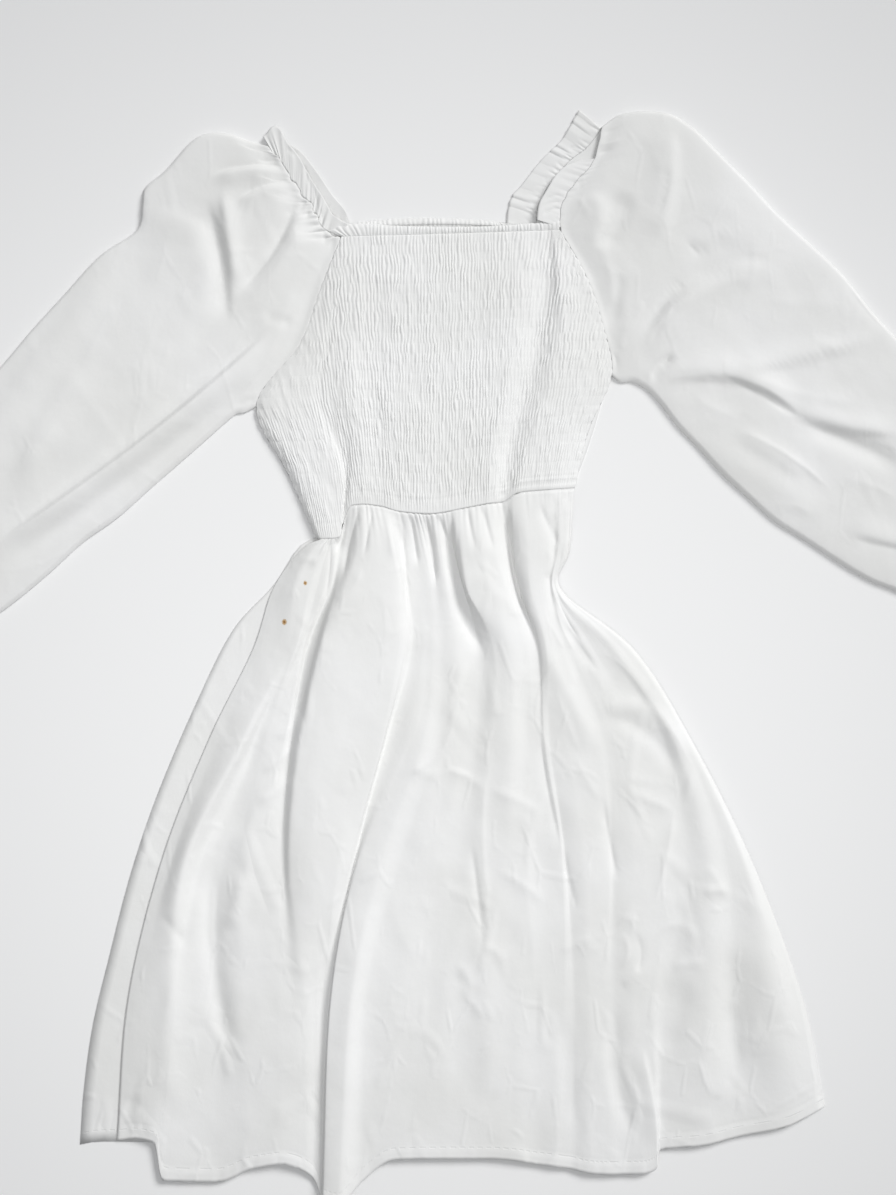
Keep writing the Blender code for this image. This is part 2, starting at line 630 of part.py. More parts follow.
def make_neck_casing(name, upper, seam, profile, gathers, collection, wall):
    """Make a gathered casing between its top edge and the seam that holds it."""
    fractions = np.linspace(0, 1, gathers * 2 + 1)
    upper = trace(upper, fractions)
    seam = resample(seam[:, :2], fractions)
    seam[:, 1] += SEAM_GAP
    rows = []
    for share, height in profile:
        line = upper * (1 - share) + seam * share
        rows.append(np.column_stack([line, np.full(len(line), height)]))
    gathered_panel(name, np.array(rows), collection, wall, NECK_RISE)


def make_skirt(collection, front):
    """Make the gathered skirt front over the flat skirt back."""
    waist = outward(front[-1], WAIST_GAP, -1)
    levels = np.array(SKIRT_LEVELS[0])
    columns = []
    for row in SKIRT_LINES:
        x = np.array(row[0:8])
        top = np.interp(x[0], waist[:, 0], waist[:, 1])
        y = np.concatenate([[top], levels, [row[8]]])
        y[1] = min(y[1], top - 2.0)
        columns.append(np.stack([x, y, np.array(row[9:17])], axis=1))
    columns = np.array(columns)
    across = refine(columns, [SKIRT_ACROSS] * (len(columns) - 1), True)
    seam = across[:, 0]
    seam[:, 1] = np.interp(seam[:, 0], waist[:, 0], waist[:, 1])
    seam[:, 2] = np.minimum(seam[:, 2], np.interp(seam[:, 0], waist[:, 0], waist[:, 2]) - WAIST_TUCK)
    grid = refine(across.transpose(1, 0, 2), SKIRT_DOWN, False)
    grid[:, :, 2] = refine(across[:, :, 2].T, SKIRT_DOWN, True)
    cloth_grid("skirt_front", grid, collection, COTTON_WALL)
    down = np.linspace(0, 1, BACK_ROWS + 1)
    wide = np.linspace(0, 1, BACK_COLUMNS + 1)
    back = patch(
        trace(SKIRT_BACK_LEFT, down),
        trace(SKIRT_BACK_RIGHT, down),
        trace(BACK_WAIST, wide),
        trace(SKIRT_BACK_HEM, wide),
        down,
        wide,
    )
    back[:, :, 1] -= SEAM_GAP
    flat_sheet("skirt_back", back, collection, BACK_WALL)


def sleeve_grid(top, under, neck, back_neck, raglan, back_raglan, folds, mirror):
    """Return the rings of a flattened sleeve, its front from below upwards and then its back."""
    sections = np.array(SLEEVE_SECTIONS)
    upper = trace(top, sections)
    lower = trace(under, sections)
    front_raglan = raglan[:, :2].copy()
    front_neck = trace(neck, np.linspace(0, 1, SLEEVE_FRONT_NECK + 1))
    front_raglan[0] = lower[0]
    start = np.concatenate([front_raglan[:-1], front_neck])
    across = np.linspace(0, 1, len(start))
    cuff = lower[-1] * (1 - across[:, None]) + upper[-1] * across[:, None]
    front = patch(lower, upper, start, cuff, sections, across)
    crown = np.sqrt(4 * across * (1 - across))[None, :]
    puffed = np.clip(sections / SLEEVE_PUFF_FROM, 0, 1)[:, None]
    folded = np.clip(sections / SLEEVE_FOLDS_FROM, 0, 1)[:, None]
    height = SLEEVE_EDGE_TOP + crown * (SLEEVE_CROWN + SLEEVE_PUFF * puffed)
    height += crown * folded * relief(front[:, :, 0], front[:, :, 1], folds)
    height = np.maximum(height, SLEEVE_EDGE_TOP)
    back_start = np.concatenate([back_raglan[:-1], trace(back_neck, np.linspace(0, 1, SLEEVE_BACK_NECK + 1))])
    back_start[0] = lower[0]
    back_across = np.linspace(0, 1, len(back_start))
    back_cuff = lower[-1] * (1 - back_across[:, None]) + upper[-1] * back_across[:, None]
    back = patch(lower, upper, back_start, back_cuff, sections, back_across)
    back = back[:, ::-1]
    under_side = outward(lower, SLEEVE_EDGE_ROUND, -mirror)
    top_side = outward(upper, SLEEVE_EDGE_ROUND, mirror)
    rings = []
    for index in range(len(sections)):
        line = [np.append(under_side[index], SLEEVE_EDGE_TOP / 2)]
        line += [np.append(point, rise) for point, rise in zip(front[index], height[index])]
        line.append(np.append(top_side[index], SLEEVE_EDGE_TOP / 2))
        line += [np.append(point, 0.0) for point in back[index]]
        line.append(line[0])
        rings.append(line)
    return np.array(rings)


def make_sleeve(name, grid, collection):
    """Make a flattened sleeve and the gathered casing at its cuff."""
    cloth_grid("sleeve_" + name, grid, collection, COTTON_WALL, ring=True)
    end = grid[-1]
    axis = (end - grid[-2])[:-1, :2].mean(axis=0)
    axis /= np.linalg.norm(axis)
    centre = end[:-1, :2].mean(axis=0)
    above = end[:, 2] >= SLEEVE_EDGE_TOP
    rows = []
    for share, spread in CUFF_PROFILE:
        line = end.copy()
        line[:, :2] = centre + (end[:, :2] - centre) * spread
        line[:, :2] += axis * (SEAM_GAP + share * CUFF_DEPTH)
        line[above, 2] = SLEEVE_EDGE_TOP + CUFF_RISE * (np.arange(above.sum()) % 2)
        rows.append(line)
    cloth_grid("cuff_" + name, np.array(rows), collection, COTTON_WALL, ring=True)


def make_frill(name, neck, table, collection, height, rise, sign):
    """Make a frill from the neck edge that it is gathered on to, out to its free edge."""
    edge = refine(np.array(table), [FRILL_WAVES] * (len(table) - 1), False)
    gather = resample(outward(neck, FRILL_GAP, sign), np.linspace(0, 1, len(edge)))
    gather = np.column_stack([gather[:, :2], np.full(len(edge), height)])
    middle = gather * 0.5 + edge * 0.5
    ripple = 1 + np.sin(np.arange(len(edge)) * math.pi / 2)
    middle[:, 2] += 0.35 * rise * ripple
    edge[:, 2] += 0.5 * rise * ripple
    cloth_grid(name, np.array([gather, middle, edge]), collection, FRILL_WALL)


def main():
    """Make every piece of the dress, each with its own material."""
    for old in list(bpy.data.objects):
        bpy.data.objects.remove(old, do_unlink=True)
    collection = bpy.data.collections.new(NAME)
    bpy.context.scene.collection.children.link(collection)

    front, back = make_bodice(collection)
    make_neck_casing(
        "neck_casing_front", NECK_FRONT_TOP, front[0], NECK_PROFILE, NECK_GATHERS, collection, CASING_WALL
    )
    make_neck_casing(
        "neck_casing_back", NECK_BACK_TOP, back[0], BACK_NECK_PROFILE, BACK_NECK_GATHERS, collection, None
    )
    make_skirt(collection, front)

    armhole = sum(BODICE_DOWN[:ARMHOLE_LEVEL])
    left_raglan = outward(front[:armhole + 1, 0][::-1], SEAM_GAP, 1)
    right_raglan = outward(front[:armhole + 1, -1][::-1], SEAM_GAP, -1)
    left_back = outward(back[:BACK_ARMHOLE + 1, 0][::-1], SEAM_GAP, 1)
    right_back = outward(back[:BACK_ARMHOLE + 1, -1][::-1], SEAM_GAP, -1)
    left = sleeve_grid(
        LEFT_SLEEVE_TOP,
        LEFT_SLEEVE_UNDER,
        LEFT_NECK_GATHER,
        LEFT_BACK_NECK,
        left_raglan,
        left_back,
        LEFT_SLEEVE_FOLDS,
        -1,
    )
    right = sleeve_grid(
        RIGHT_SLEEVE_TOP,
        RIGHT_SLEEVE_UNDER,
        RIGHT_NECK_GATHER,
        RIGHT_BACK_NECK,
        right_raglan,
        right_back,
        RIGHT_SLEEVE_FOLDS,
        1,
    )
    make_sleeve("left", left, collection)
    make_sleeve("right", right, collection)
    corner = armhole + 1
    tip = corner + SLEEVE_FRONT_NECK
    for side, ring, front_edge, back_edge, spans, sign in (
        ("left", left[0], LEFT_FRONT_FRILL, LEFT_BACK_FRILL, LEFT_FRILL_SPANS, -1),
        ("right", right[0], RIGHT_FRONT_FRILL, RIGHT_BACK_FRILL, RIGHT_FRILL_SPANS, 1),
    ):
        name = "neck_frill_" + side
        neck = resample(ring[corner:tip + 1], np.linspace(*spans[0], SLEEVE_FRONT_NECK + 1))
        make_frill(name + "_front", neck, front_edge, collection, FRONT_FRILL_HEIGHT, FRONT_FRILL_RISE, sign)
        neck = ring[tip + 2:tip + 3 + SLEEVE_BACK_NECK][::-1]
        neck = resample(neck, np.linspace(*spans[1], SLEEVE_FRONT_NECK + 1))
        make_frill(name + "_back", neck, back_edge, collection, FRILL_WALL, BACK_FRILL_RISE, sign)

    for piece in collection.objects:
        piece.data.materials.append(cloth_material(piece.name + "_cotton", (0.9, 0.9, 0.89, 1.0), 0.85))


main()
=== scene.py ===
"""Peasant dress laid flat with its front up, for a close look: smocked cotton bodice,
gathered neck and sleeve edges, balloon sleeves and a gathered skirt with a turned hem.

The tables are in millimetres, seen from above: X across the dress, Y from hem to neck.
"""
import math

import bmesh
import bpy
import numpy as np
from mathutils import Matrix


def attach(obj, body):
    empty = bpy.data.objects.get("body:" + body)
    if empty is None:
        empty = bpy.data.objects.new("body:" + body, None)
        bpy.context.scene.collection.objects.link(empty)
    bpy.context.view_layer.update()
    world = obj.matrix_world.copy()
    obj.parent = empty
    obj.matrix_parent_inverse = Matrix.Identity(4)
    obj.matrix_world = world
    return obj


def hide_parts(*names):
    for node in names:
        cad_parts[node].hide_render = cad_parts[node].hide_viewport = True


bl_info = {
    "name": "Peasant Dress",
    "version": (1, 0, 0),
    "blender": (4, 5, 0),
    "location": "View3D > Sidebar > Dress",
    "description": "Sews a cotton peasant dress that lies flat",
    "category": "Object",
}

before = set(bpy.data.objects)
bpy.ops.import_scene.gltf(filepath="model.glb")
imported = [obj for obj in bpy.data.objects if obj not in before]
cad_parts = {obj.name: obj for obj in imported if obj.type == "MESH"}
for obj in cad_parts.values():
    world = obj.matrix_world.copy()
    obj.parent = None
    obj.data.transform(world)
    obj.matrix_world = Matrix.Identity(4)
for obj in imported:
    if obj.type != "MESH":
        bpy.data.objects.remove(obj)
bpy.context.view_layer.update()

MM = 0.001
BODY = "root"

# Where pieces rest and meet, in millimetres.
REST = 0.05
BACK_TOP_SIDE = 0.8
SEAM_GAP = 0.05
FRILL_GAP = 0.1
WAIST_GAP = 0.04
WAIST_LIFT = 0.12
TUBE_MIDDLE = 2.0
SAME_POINT = 0.02
# The skirt's wall, as a share of the cloth's thickness.
SKIRT_WALL_SHARE = 0.85

# How finely each panel is divided, and the places that its rows and columns are counted from.
TRACE_STEPS = 12
BODICE_DOWN = (28, 28, 32, 35, 35)
BODICE_ACROSS = 40
ARMHOLE_LEVEL = 3
BACK_COLUMNS = 60
BACK_ARMHOLE = 24
SMOCKING_COLUMNS = 560
WAIST_COLUMNS = 500
SKIRT_DOWN = (15, 13, 19, 28, 37, 44, 52)
SKIRT_ACROSS = 16
SKIRT_COLUMNS = 360
SKIRT_EVEN_ROW = 100
SLEEVE_SECTIONS = 150
SLEEVE_RAGLAN = 54
SLEEVE_NECK = 96
SLEEVE_BACK_NECK = 30
ARMHOLE_COLUMNS = 100
CASING_STEPS = 3
CASING_POINTS = 6
CUFF_RINGS = 13
FRILL_STEPS = 26
FRILL_ROWS = 14
FRILL_START_POINTS = 121
BODICE_LINING_STEP = 10
SKIRT_LINING_STEP = 2

# The smocking: its middle level, the half width over which its gathers come to lean, and how far above
# the waist it is sewn flat or stands over a line of stitches.
SMOCKING_LEVEL = 222.0
SMOCKING_HALF = 150
WAIST_SEWING = 12.0
WAIST_RIDGES = (3.0, 10.0)

# Sleeves: the top and the rounding of their sides, how high they are at the cuff and at the neck, how
# deep the cuff casing is, and the lowest that a frill lies.
SLEEVE_EDGE_TOP = 2.4
SLEEVE_EDGE_ROUND = 0.9
SLEEVE_EDGE_BULGE = (0.7, 1.0, 0.7)
SLEEVE_EDGE_LEVELS = (0.5, 1.2, 1.9)
SLEEVE_CUFF_TOP = 3.4
SLEEVE_NECK_TOP = 4.8
CUFF_DEPTH = 15.0
FRILL_LOWEST = 0.75

# The cotton: how far each relief rises, in metres, how many of it come to a metre, how its creases are
# spread, and how much of them each piece has.
WEAVE_RISE = 0.00002
SLUB_RISE = 0.00003
SLUBS = (2600.0, 260.0, 1.0)
CRINKLE_RISE = 0.0005
CRINKLES = 46.0
FINE_CRINKLE_RISE = 0.00004
FINE_CRINKLES = 240.0
CREASE_CELLS = (15.0, 31.0)
CREASE_WIDTH = 0.09
CREASE_SHOWN = (0.47, 0.64)
CREASE_RUN = {"Rotation": (0.0, 0.0, 0.5), "Scale": (1.0, 0.6, 0.0)}
BODICE_CRINKLE = 0.35
CASING_CRINKLE = 0.5
FRILL_CRINKLE = 0.6
SKIRT_CREASE_RISE = 0.00052
SLEEVE_CREASE_RISE = 0.00028
ROUGHNESS = 0.86
ROUGHNESS_CHANGE = 0.08
TONE_PATCHES = 9.0
TONE_RANGE = (0.3, 0.7)
SLUB_TONE = 0.12

# The sewing thread: how wide its line is, how far it sinks and how long a stitch is, in metres, and how
# much it darkens the cloth.
SHIRRING_LINE = (0.0002, 0.0007)
SHIRRING_SINK = 0.00002
SHIRRING_TONE = 0.05
STITCH_LINE = (0.0003, 0.0008)
STITCH_SINK = 0.00016
STITCH_LENGTH = 0.0028
STITCH_DASH = (-0.5, 0.1)
STITCH_TONE = 0.2
HEM_STITCH_INSET = 0.0012

# The stains: their rim and middle as shares of their size, how ragged they are, in metres, and their
# strength.
STAIN_RIM = (0.45, 1.05)
STAIN_MIDDLE = 0.5
STAIN_MIDDLE_START = 0.0002
STAIN_RAGGED = 0.0016
STAIN_SPECKS = 900.0
STAIN_SQUASH = (1.0, 0.82, 0.0)
STAIN_STRENGTH = 0.9

# The sockets of a Mix node that blends colours.
MIX_SHARE = 0
MIX_FIRST = 6
MIX_SECOND = 7
MIX_RESULT = 2

# Whole numbers that scatter the cells of an uneven pattern.
SCATTER_ACROSS = 374761393
SCATTER_DOWN = 668265263
SCATTER_SEED = 974634777
SCATTER_AGAIN = 1274126177
WORD = 0xFFFFFFFF
HALF_WORD = 0xFFFF

# The lights: name, kind, place in metres, and settings.
LIGHTS = (
    ("window", "SUN", (1.05, 1.05, 1.12), {"energy": 2.2, "angle": 0.42}),
    (
        "overhead", "SPOT", (0.06, 0.06, 1.9),
        {"energy": 50.0, "shadow_soft_size": 0.35, "spot_size": math.radians(51), "spot_blend": 1.0},
    ),
)
STUDIO_COLOUR = (0.95, 0.97, 1.0, 1.0)
STUDIO_STRENGTH = 0.27

# The floor and the camera in metres, the view in rows of a picture, and a pixel in millimetres.
FLOOR_HALF = 5.0
FLOOR_GRAIN = 700.0
CAMERA_HEIGHT = 1.7
CAMERA_REACH = 50.0
CLOTH_LEVEL = 0.006
PIXEL = 0.85
VIEW_ROWS = 1195
VIEW_MIDDLE_ROW = 597.5
ORIGIN_ROW = 656
SENSOR = 36.0

# One row for each shade band of the smocked front, from its left edge to its right one.
# x at the neck, four levels down and the waist, y at the neck and the waist, z at each level.
BODICE_LEVELS = (0, 0.18, 0.36, 0.56, 0.78, 1)
BODICE_LINES = (
    ((-91, -108.8, -126.6, -163.2, -136.8, -112.2), 356.8, 100.3, (5, 5.6, 5.2, 3.2, 2.4, 3.2)),
    ((-89.2, -104.5, -120.7, -153, -128.3, -108), 356.9, 99.5, (5, 6.2, 6.2, 6.6, 7, 7)),
    ((-86.7, -100.3, -113.9, -136, -113, -99.5), 357, 99.5, (5, 6.8, 7, 8, 8.5, 8)),
    ((-83.3, -95.2, -105.4, -117.3, -91.8, -91.8), 357.1, 101.1, (5, 7.2, 7.6, 8.2, 7.8, 7.4)),
    ((-81.6, -91.8, -100.3, -108.8, -88.4, -89.2), 357.2, 112.2, (5, 7.2, 7.4, 7.2, 5.6, 5)),
    ((-78.2, -86.7, -94.3, -100.3, -83.3, -82.5), 357.3, 127.5, (5, 7.4, 7.8, 7.8, 7.8, 7.6)),
    ((-69.7, -75.6, -79.9, -83.3, -73.1, -71.4), 357.5, 128.7, (5, 8, 8.8, 9.6, 9.6, 8.2)),
    ((-59.5, -62, -63.8, -64.6, -58.6, -56.9), 357.8, 127, (5, 7.4, 7.8, 8.4, 8.6, 7.8)),
    ((-45, -45.9, -45.9, -45.9, -42.5, -41.6), 358.1, 122.7, (5, 8, 8.5, 9.5, 9.5, 8.2)),
    ((-15.3, -15.3, -15.3, -17, -15.3, -15.3), 358.9, 120.7, (5, 8, 9, 10, 9.5, 8.2)),
    ((18.7, 18.7, 18.7, 17, 15.3, 15.3), 359.9, 125.8, (5, 8, 9.5, 10.5, 10, 8.2)),
    ((56.9, 56.1, 54.4, 48.4, 37.4, 33.1), 361.2, 129.2, (5, 9.5, 10.5, 11, 10.5, 8.2)),
    ((85.8, 84.1, 79, 68.8, 53.5, 46.8), 362.2, 130.9, (4.3, 5, 5, 5, 4.3, 5.2)),
    ((89.2, 95.2, 96.9, 89.2, 74, 59.5), 362.4, 138.5, (5, 8.5, 9.5, 9.5, 9, 8.2)),
    ((91.8, 106.2, 113.9, 115.6, 96.9, 86.7), 362.4, 141.1, (5, 7, 7.5, 7.5, 8, 8)),
    ((95.2, 117.3, 130.9, 139.4, 119, 108), 362.6, 142.8, (5, 5.6, 5.2, 3.2, 2.4, 3.2)),
)

# One row for each fold line of the skirt front, from its left edge to its right one.
# x at the waist, six levels down and the hem, y at the hem, z at each level.
SKIRT_LEVELS = (90.1, 56.1, 5.1, -71.4, -173.4, -292.4)
SKIRT_LINES = (
    ((-108, -125.8, -149.6, -166.6, -204, -243.9, -272.8, -282.2), -413.1, (2, 2, 2, 2, 2, 2, 2, 2)),
    ((-106.2, -123.2, -144.5, -159.8, -195.5, -235.4, -262.6, -266.1),
     -410.6, (5, 4.4, 4.2, 4.2, 4.4, 4.8, 4.6, 4)),
    ((-103.7, -113.9, -129.2, -138.5, -174.2, -222.7, -239.7, -249.9), -413.9, (6, 9, 10, 9, 12, 13, 8, 6)),
    ((-101.1, -107.1, -119, -130, -164, -208.2, -226.1, -242.2), -446.2, (6, 9, 10, 10, 5, 4, 6, 5)),
    ((-99.5, -102.8, -111.3, -125.8, -153.8, -192.1, -199.8, -198), -447.9, (6, 8, 8, 7, 6, 3.5, 4, 4)),
    ((-97.8, -99.5, -106.2, -123.2, -139.4, -168.3, -172.5, -166.6), -436.1, (6, 8, 8, 5.6, 5.6, 8, 8, 6)),
    ((-95.2, -95.2, -100.3, -119.8, -133.4, -141.9, -142.8, -140.2), -431.8, (5, 7, 6, 1.5, 2.6, 7, 9, 7)),
    ((-90.1, -92.6, -98.6, -113.9, -130, -139.4, -132.6, -128.3), -435.2, (4.2, 5, 5.6, 8.5, 8, 7.2, 8, 6)),
    ((-81.6, -86.7, -94.3, -108, -124.1, -134.3, -122.4, -120.7), -439.4, (5, 6, 10, 15, 13.5, 12, 8, 5)),
    ((-76.5, -76.5, -86.7, -96, -107.1, -113, -112.2, -113.9), -446.2, (6, 12, 14, 15.5, 14.5, 15, 6, 3)),
    ((-67.1, -62.9, -66.3, -73.1, -83.3, -93.5, -106.2, -110.5), -453.9, (6, 14, 15, 15, 14, 14, 4.2, 3.4)),
    ((-54.4, -45.9, -39.1, -39.1, -54.4, -82.5, -102.8, -108.8), -460.7, (6, 14, 14, 13, 13, 9, 4.2, 3.4)),
    ((-45.9, -39.9, -34.9, -32.3, -53.5, -79, -100.3, -108), -463.2, (4, 4.4, 4.4, 5, 5.2, 4.8, 4.6, 3.6)),
    ((-39.9, -31.4, -23.8, -20.4, -34, -76.5, -99.5, -106.2), -464.9, (5, 4, 5, 7, 10, 9, 11, 9)),
    ((-29.8, -20.4, -15.3, -13.6, -22.1, -57.8, -83.3, -93.5), -468.3, (5, 5, 5.5, 7, 10, 12, 12, 11)),
    ((-22.9, -15.3, -10.2, -5.1, -8.5, -39.1, -68.8, -73.1), -447.1, (4, 4, 5, 6.5, 8, 8, 7, 5)),
    ((-11.9, -6, -1.7, 6, 6, -13.6, -39.1, -45.9), -428.4, (5, 6, 6, 7, 9, 8, 8, 6)),
    ((0, 4.2, 12.8, 25.5, 22.9, 8.5, -6.8, -15.3), -427.6, (4, 2.8, 2.4, 4.6, 8, 7, 8, 6)),
    ((7.6, 7.6, 16.1, 39.9, 37.4, 25.5, 12.8, 10.2), -427.6, (6, 12, 13.5, 10, 10, 8, 7, 6)),
    ((19.6, 22.9, 34, 51, 52.7, 45.9, 37.4, 35.7), -427.6, (6, 13, 13, 12, 10, 8, 8, 6)),
    ((33.1, 38.2, 49.3, 65.5, 67.1, 62.9, 56.9, 56.9), -429.2, (6, 11, 10, 9, 8, 8, 8, 6)),
    ((46.8, 52.7, 60.4, 75.6, 78.2, 82.5, 79, 75.6), -432.6, (4, 2.4, 2.6, 6.5, 7.6, 7.2, 7, 5)),
    ((55.2, 56.1, 62, 79, 82.5, 97.8, 100.3, 91.8), -434.3, (6, 12, 11, 9, 8.4, 8.2, 7.2, 6)),
    ((62.9, 67.1, 69.7, 83.3, 85.8, 99.5, 106.2, 105.4), -436.9, (7, 12, 12, 11, 7.6, 6.8, 6.4, 4)),
    ((74.8, 78.2, 77.3, 88.4, 100.3, 116.5, 120.7, 122.4), -440.3, (7, 11, 11, 10, 9, 9, 8, 6)),
    ((85, 85.8, 83.3, 95.2, 125.8, 136.8, 133.4, 139.4), -441.1, (6, 9, 9, 8, 8.4, 8, 7.2, 6)),
    ((91, 90.1, 86.7, 102, 133.4, 140.2, 141.1, 151.3), -441.1, (6, 7, 7, 7, 7.8, 7.2, 6.6, 5.2)),
    ((96, 93.5, 89.2, 112.2, 147.9, 158.1, 158.1, 167.4), -440.3, (6, 8, 8, 7, 8, 9, 8, 6)),
    ((99.5, 96.9, 91.8, 125, 167.4, 183.6, 173.4, 177.7), -435.2, (5, 7, 6, 5.6, 6.8, 7.8, 7.4, 6)),
    ((101.1, 99.5, 92.6, 133.4, 181.9, 201.4, 185.3, 180.2), -420.8, (5, 6, 6, 6, 6, 7, 5.8, 3.4)),
    ((102.8, 101.1, 94.3, 141.9, 192.1, 221, 217.6, 215.9), -416.5, (4, 5, 5, 7, 8, 9, 9, 6)),
    ((104.5, 102, 95.2, 148.8, 199.8, 238, 245.7, 248.2), -408.8, (4, 4, 4, 6, 7, 7, 5, 4)),
    ((105.4, 102.8, 96, 154.7, 204, 249.9, 280.5, 287.3), -400.3, (3, 4, 3.5, 5, 6, 7, 8, 6)),
    ((107.1, 103.7, 96.9, 158.9, 207.4, 258.4, 302.6, 321.3), -384.2, (2, 2, 2, 2, 2, 2, 2, 2)),
)

# Edges of the back panels, each from the neck or the waist downwards, or from left to right.
SKIRT_BACK_LEFT = (
    (-108.8, 102.8), (-127.5, 92.6), (-148.8, 60.4), (-182.8, 22.9), (-213.3, -37.4),
    (-247.3, -117.3), (-270.3, -185.3), (-289, -257.6), (-302.6, -314.5), (-310.2, -368.9),
    (-313.6, -416.5),
)
SKIRT_BACK_RIGHT = (
    (102.8, 139.4), (97.8, 98.6), (90.1, 56.1), (129.2, 22.9), (180.2, -37.4), (219.3, -105.4),
    (251.6, -173.4), (278.8, -241.4), (300.9, -309.4), (314.5, -373.1),
)
SKIRT_BACK_HEM = (
    (-313.6, -416.5), (-280.5, -413.9), (-125.8, -419.9), (44.2, -417.3), (171.7, -411.4),
    (314.5, -373.1),
)
BODICE_BACK_TOP = (
    (-79, 360.4), (1.7, 363.8), (78.2, 361.2),
)
BACK_RAGLAN_LEFT = (
    (-79, 360.4), (-107.1, 285.6), (-157.2, 217.6),
)
BACK_SIDE_LEFT = (
    (-157.2, 217.6), (-140.2, 175.1), (-115.6, 115.6), (-108.8, 102.8),
)
BACK_RAGLAN_RIGHT = (
    (78.2, 361.2), (110.5, 285.6), (136, 234.6),
)
BACK_SIDE_RIGHT = (
    (136, 234.6), (124.1, 192.1), (112.2, 158.1), (102.8, 139.4),
)
BACK_WAIST = (
    (-108.8, 102.8), (-57.8, 112.2), (1.7, 120.7), (102.8, 139.4),
)

# Upper edges of the neck casings, from left to right.
NECK_FRONT_TOP = (
    (-102.8, 362.1), (-85.8, 368.1), (-39.9, 366.3), (1.7, 365.5), (40.8, 366.3), (83.3, 369.8),
    (95.2, 371.4),
)
NECK_BACK_TOP = (
    (-77.3, 369.8), (-61.2, 371.4), (-39.9, 373.1), (-6.8, 373.1), (28.1, 371.4), (46.8, 369.8),
)

# Outlines and neck edges of the sleeves, from the body outwards.
LEFT_SLEEVE_TOP = (
    (-153, 433.5), (-172.5, 438.6), (-185.3, 443.7), (-204, 444.6), (-219.3, 436.9),
    (-240.5, 413.1), (-257.6, 398.6), (-260.1, 384.2), (-265.2, 362.1), (-296.6, 340),
    (-327.2, 306.8), (-353.6, 277.9), (-380.8, 245.7), (-431.8, 187.8), (-491.3, 130),
    (-542.3, 85), (-578, 56.1),
)
LEFT_SLEEVE_UNDER = (
    (-163.2, 213.3), (-169.2, 209.9), (-175.1, 207.4), (-181, 206.5), (-189.5, 199.8),
    (-204, 187), (-219.3, 173.4), (-251.6, 145.3), (-282.2, 118.1), (-311.9, 96.9),
    (-341.7, 69.7), (-380.8, 38.2), (-423.3, 11.9), (-470.1, -5.1), (-508.3, -11.9),
    (-537.2, -7.6),
)
LEFT_NECK_GATHER = (
    (-91.8, 356.1), (-102.8, 361.2), (-111.3, 373.1), (-117.3, 385.1), (-124.1, 392.7),
    (-131.8, 403.8), (-137.7, 413.1), (-143.7, 422.4), (-153, 433.5),
)
LEFT_BACK_NECK = (
    (-80.8, 360.4), (-89.2, 368.1), (-99.5, 377.4), (-108, 387.6), (-115.6, 397.8),
    (-123.2, 410.6), (-131.8, 419.9), (-141.9, 426.7), (-153, 433.5),
)
RIGHT_SLEEVE_TOP = (
    (130.9, 449.6), (145.3, 459.8), (163.2, 463.2), (181.9, 462.4), (194.7, 458.1),
    (211.7, 446.2), (229.5, 428.4), (256.7, 401.2), (280.5, 375.7), (304.3, 353.6),
    (325.6, 334.1), (340, 318.8), (361.2, 291.6), (380.8, 270.3), (426.7, 219.3),
    (477.7, 168.3), (524.4, 125.8), (568.6, 88.4),
)
RIGHT_SLEEVE_UNDER = (
    (141.1, 238), (147, 233.8), (157.2, 233.8), (170, 226.9), (181.9, 214.2), (196.3, 195.5),
    (214.2, 176.8), (235.4, 153.8), (256.7, 134.3), (278.8, 114.8), (301.8, 100.3), (340, 75.6),
    (361.2, 63.8), (380.8, 56.1), (422.4, 37.4), (469.2, 22.9), (503.2, 19.6), (527.9, 24.6),
)
RIGHT_NECK_GATHER = (
    (96, 362.9), (95.2, 373.1), (96.9, 383.3), (101.1, 392.7), (108, 402.1), (116.5, 411.4),
    (124.1, 421.6), (127.5, 434.3), (130.9, 449.6),
)
RIGHT_BACK_NECK = (
    (79, 361.2), (75.6, 369.8), (76.5, 380.8), (80.8, 391.8), (86.7, 402.1), (95.2, 412.2),
    (105.4, 423.3), (119, 433.5), (130.9, 449.6),
)

# Free edges of the frills at the neck, from the bodice to the shoulder, and their heights.
LEFT_FRONT_FRILL = (
    (-85, 367.2, 6), (-97.8, 375.7, 4.4), (-102.8, 384.2, 4.4), (-108, 392.7, 4.8),
    (-115.6, 404.6, 4.2), (-123.2, 418.2, 4.8), (-129.2, 428.4, 4.4), (-136, 436.1, 5),
    (-146.2, 451.3, 5), (-157.2, 442, 4.4),
)
LEFT_BACK_FRILL = (
    (-83.3, 368.9, 1.4), (-89.2, 381.6, 2), (-98.6, 392.7, 1.4), (-108, 407.1, 2),
    (-117.3, 419.9, 1.5), (-125, 429.2, 2), (-133.4, 435.2, 1.5),
)
RIGHT_FRONT_FRILL = (
    (75.6, 370.6, 7), (76.5, 379.9, 7.5), (79, 387.6, 8), (84.1, 396.1, 8), (91.8, 408.8, 7.5),
    (100.3, 416.5, 6.5), (113, 421.6, 5),
)
RIGHT_BACK_FRILL = (
    (50.1, 368.9, 1), (51, 379.9, 1.3), (55.2, 392.7, 1.1), (64.6, 403.8, 1.3),
    (74.8, 417.3, 1.1), (83.3, 426.7, 1.3), (93.5, 436.1, 1.4), (101.1, 446.2, 1.6),
    (111.3, 464.9, 1.8),
)

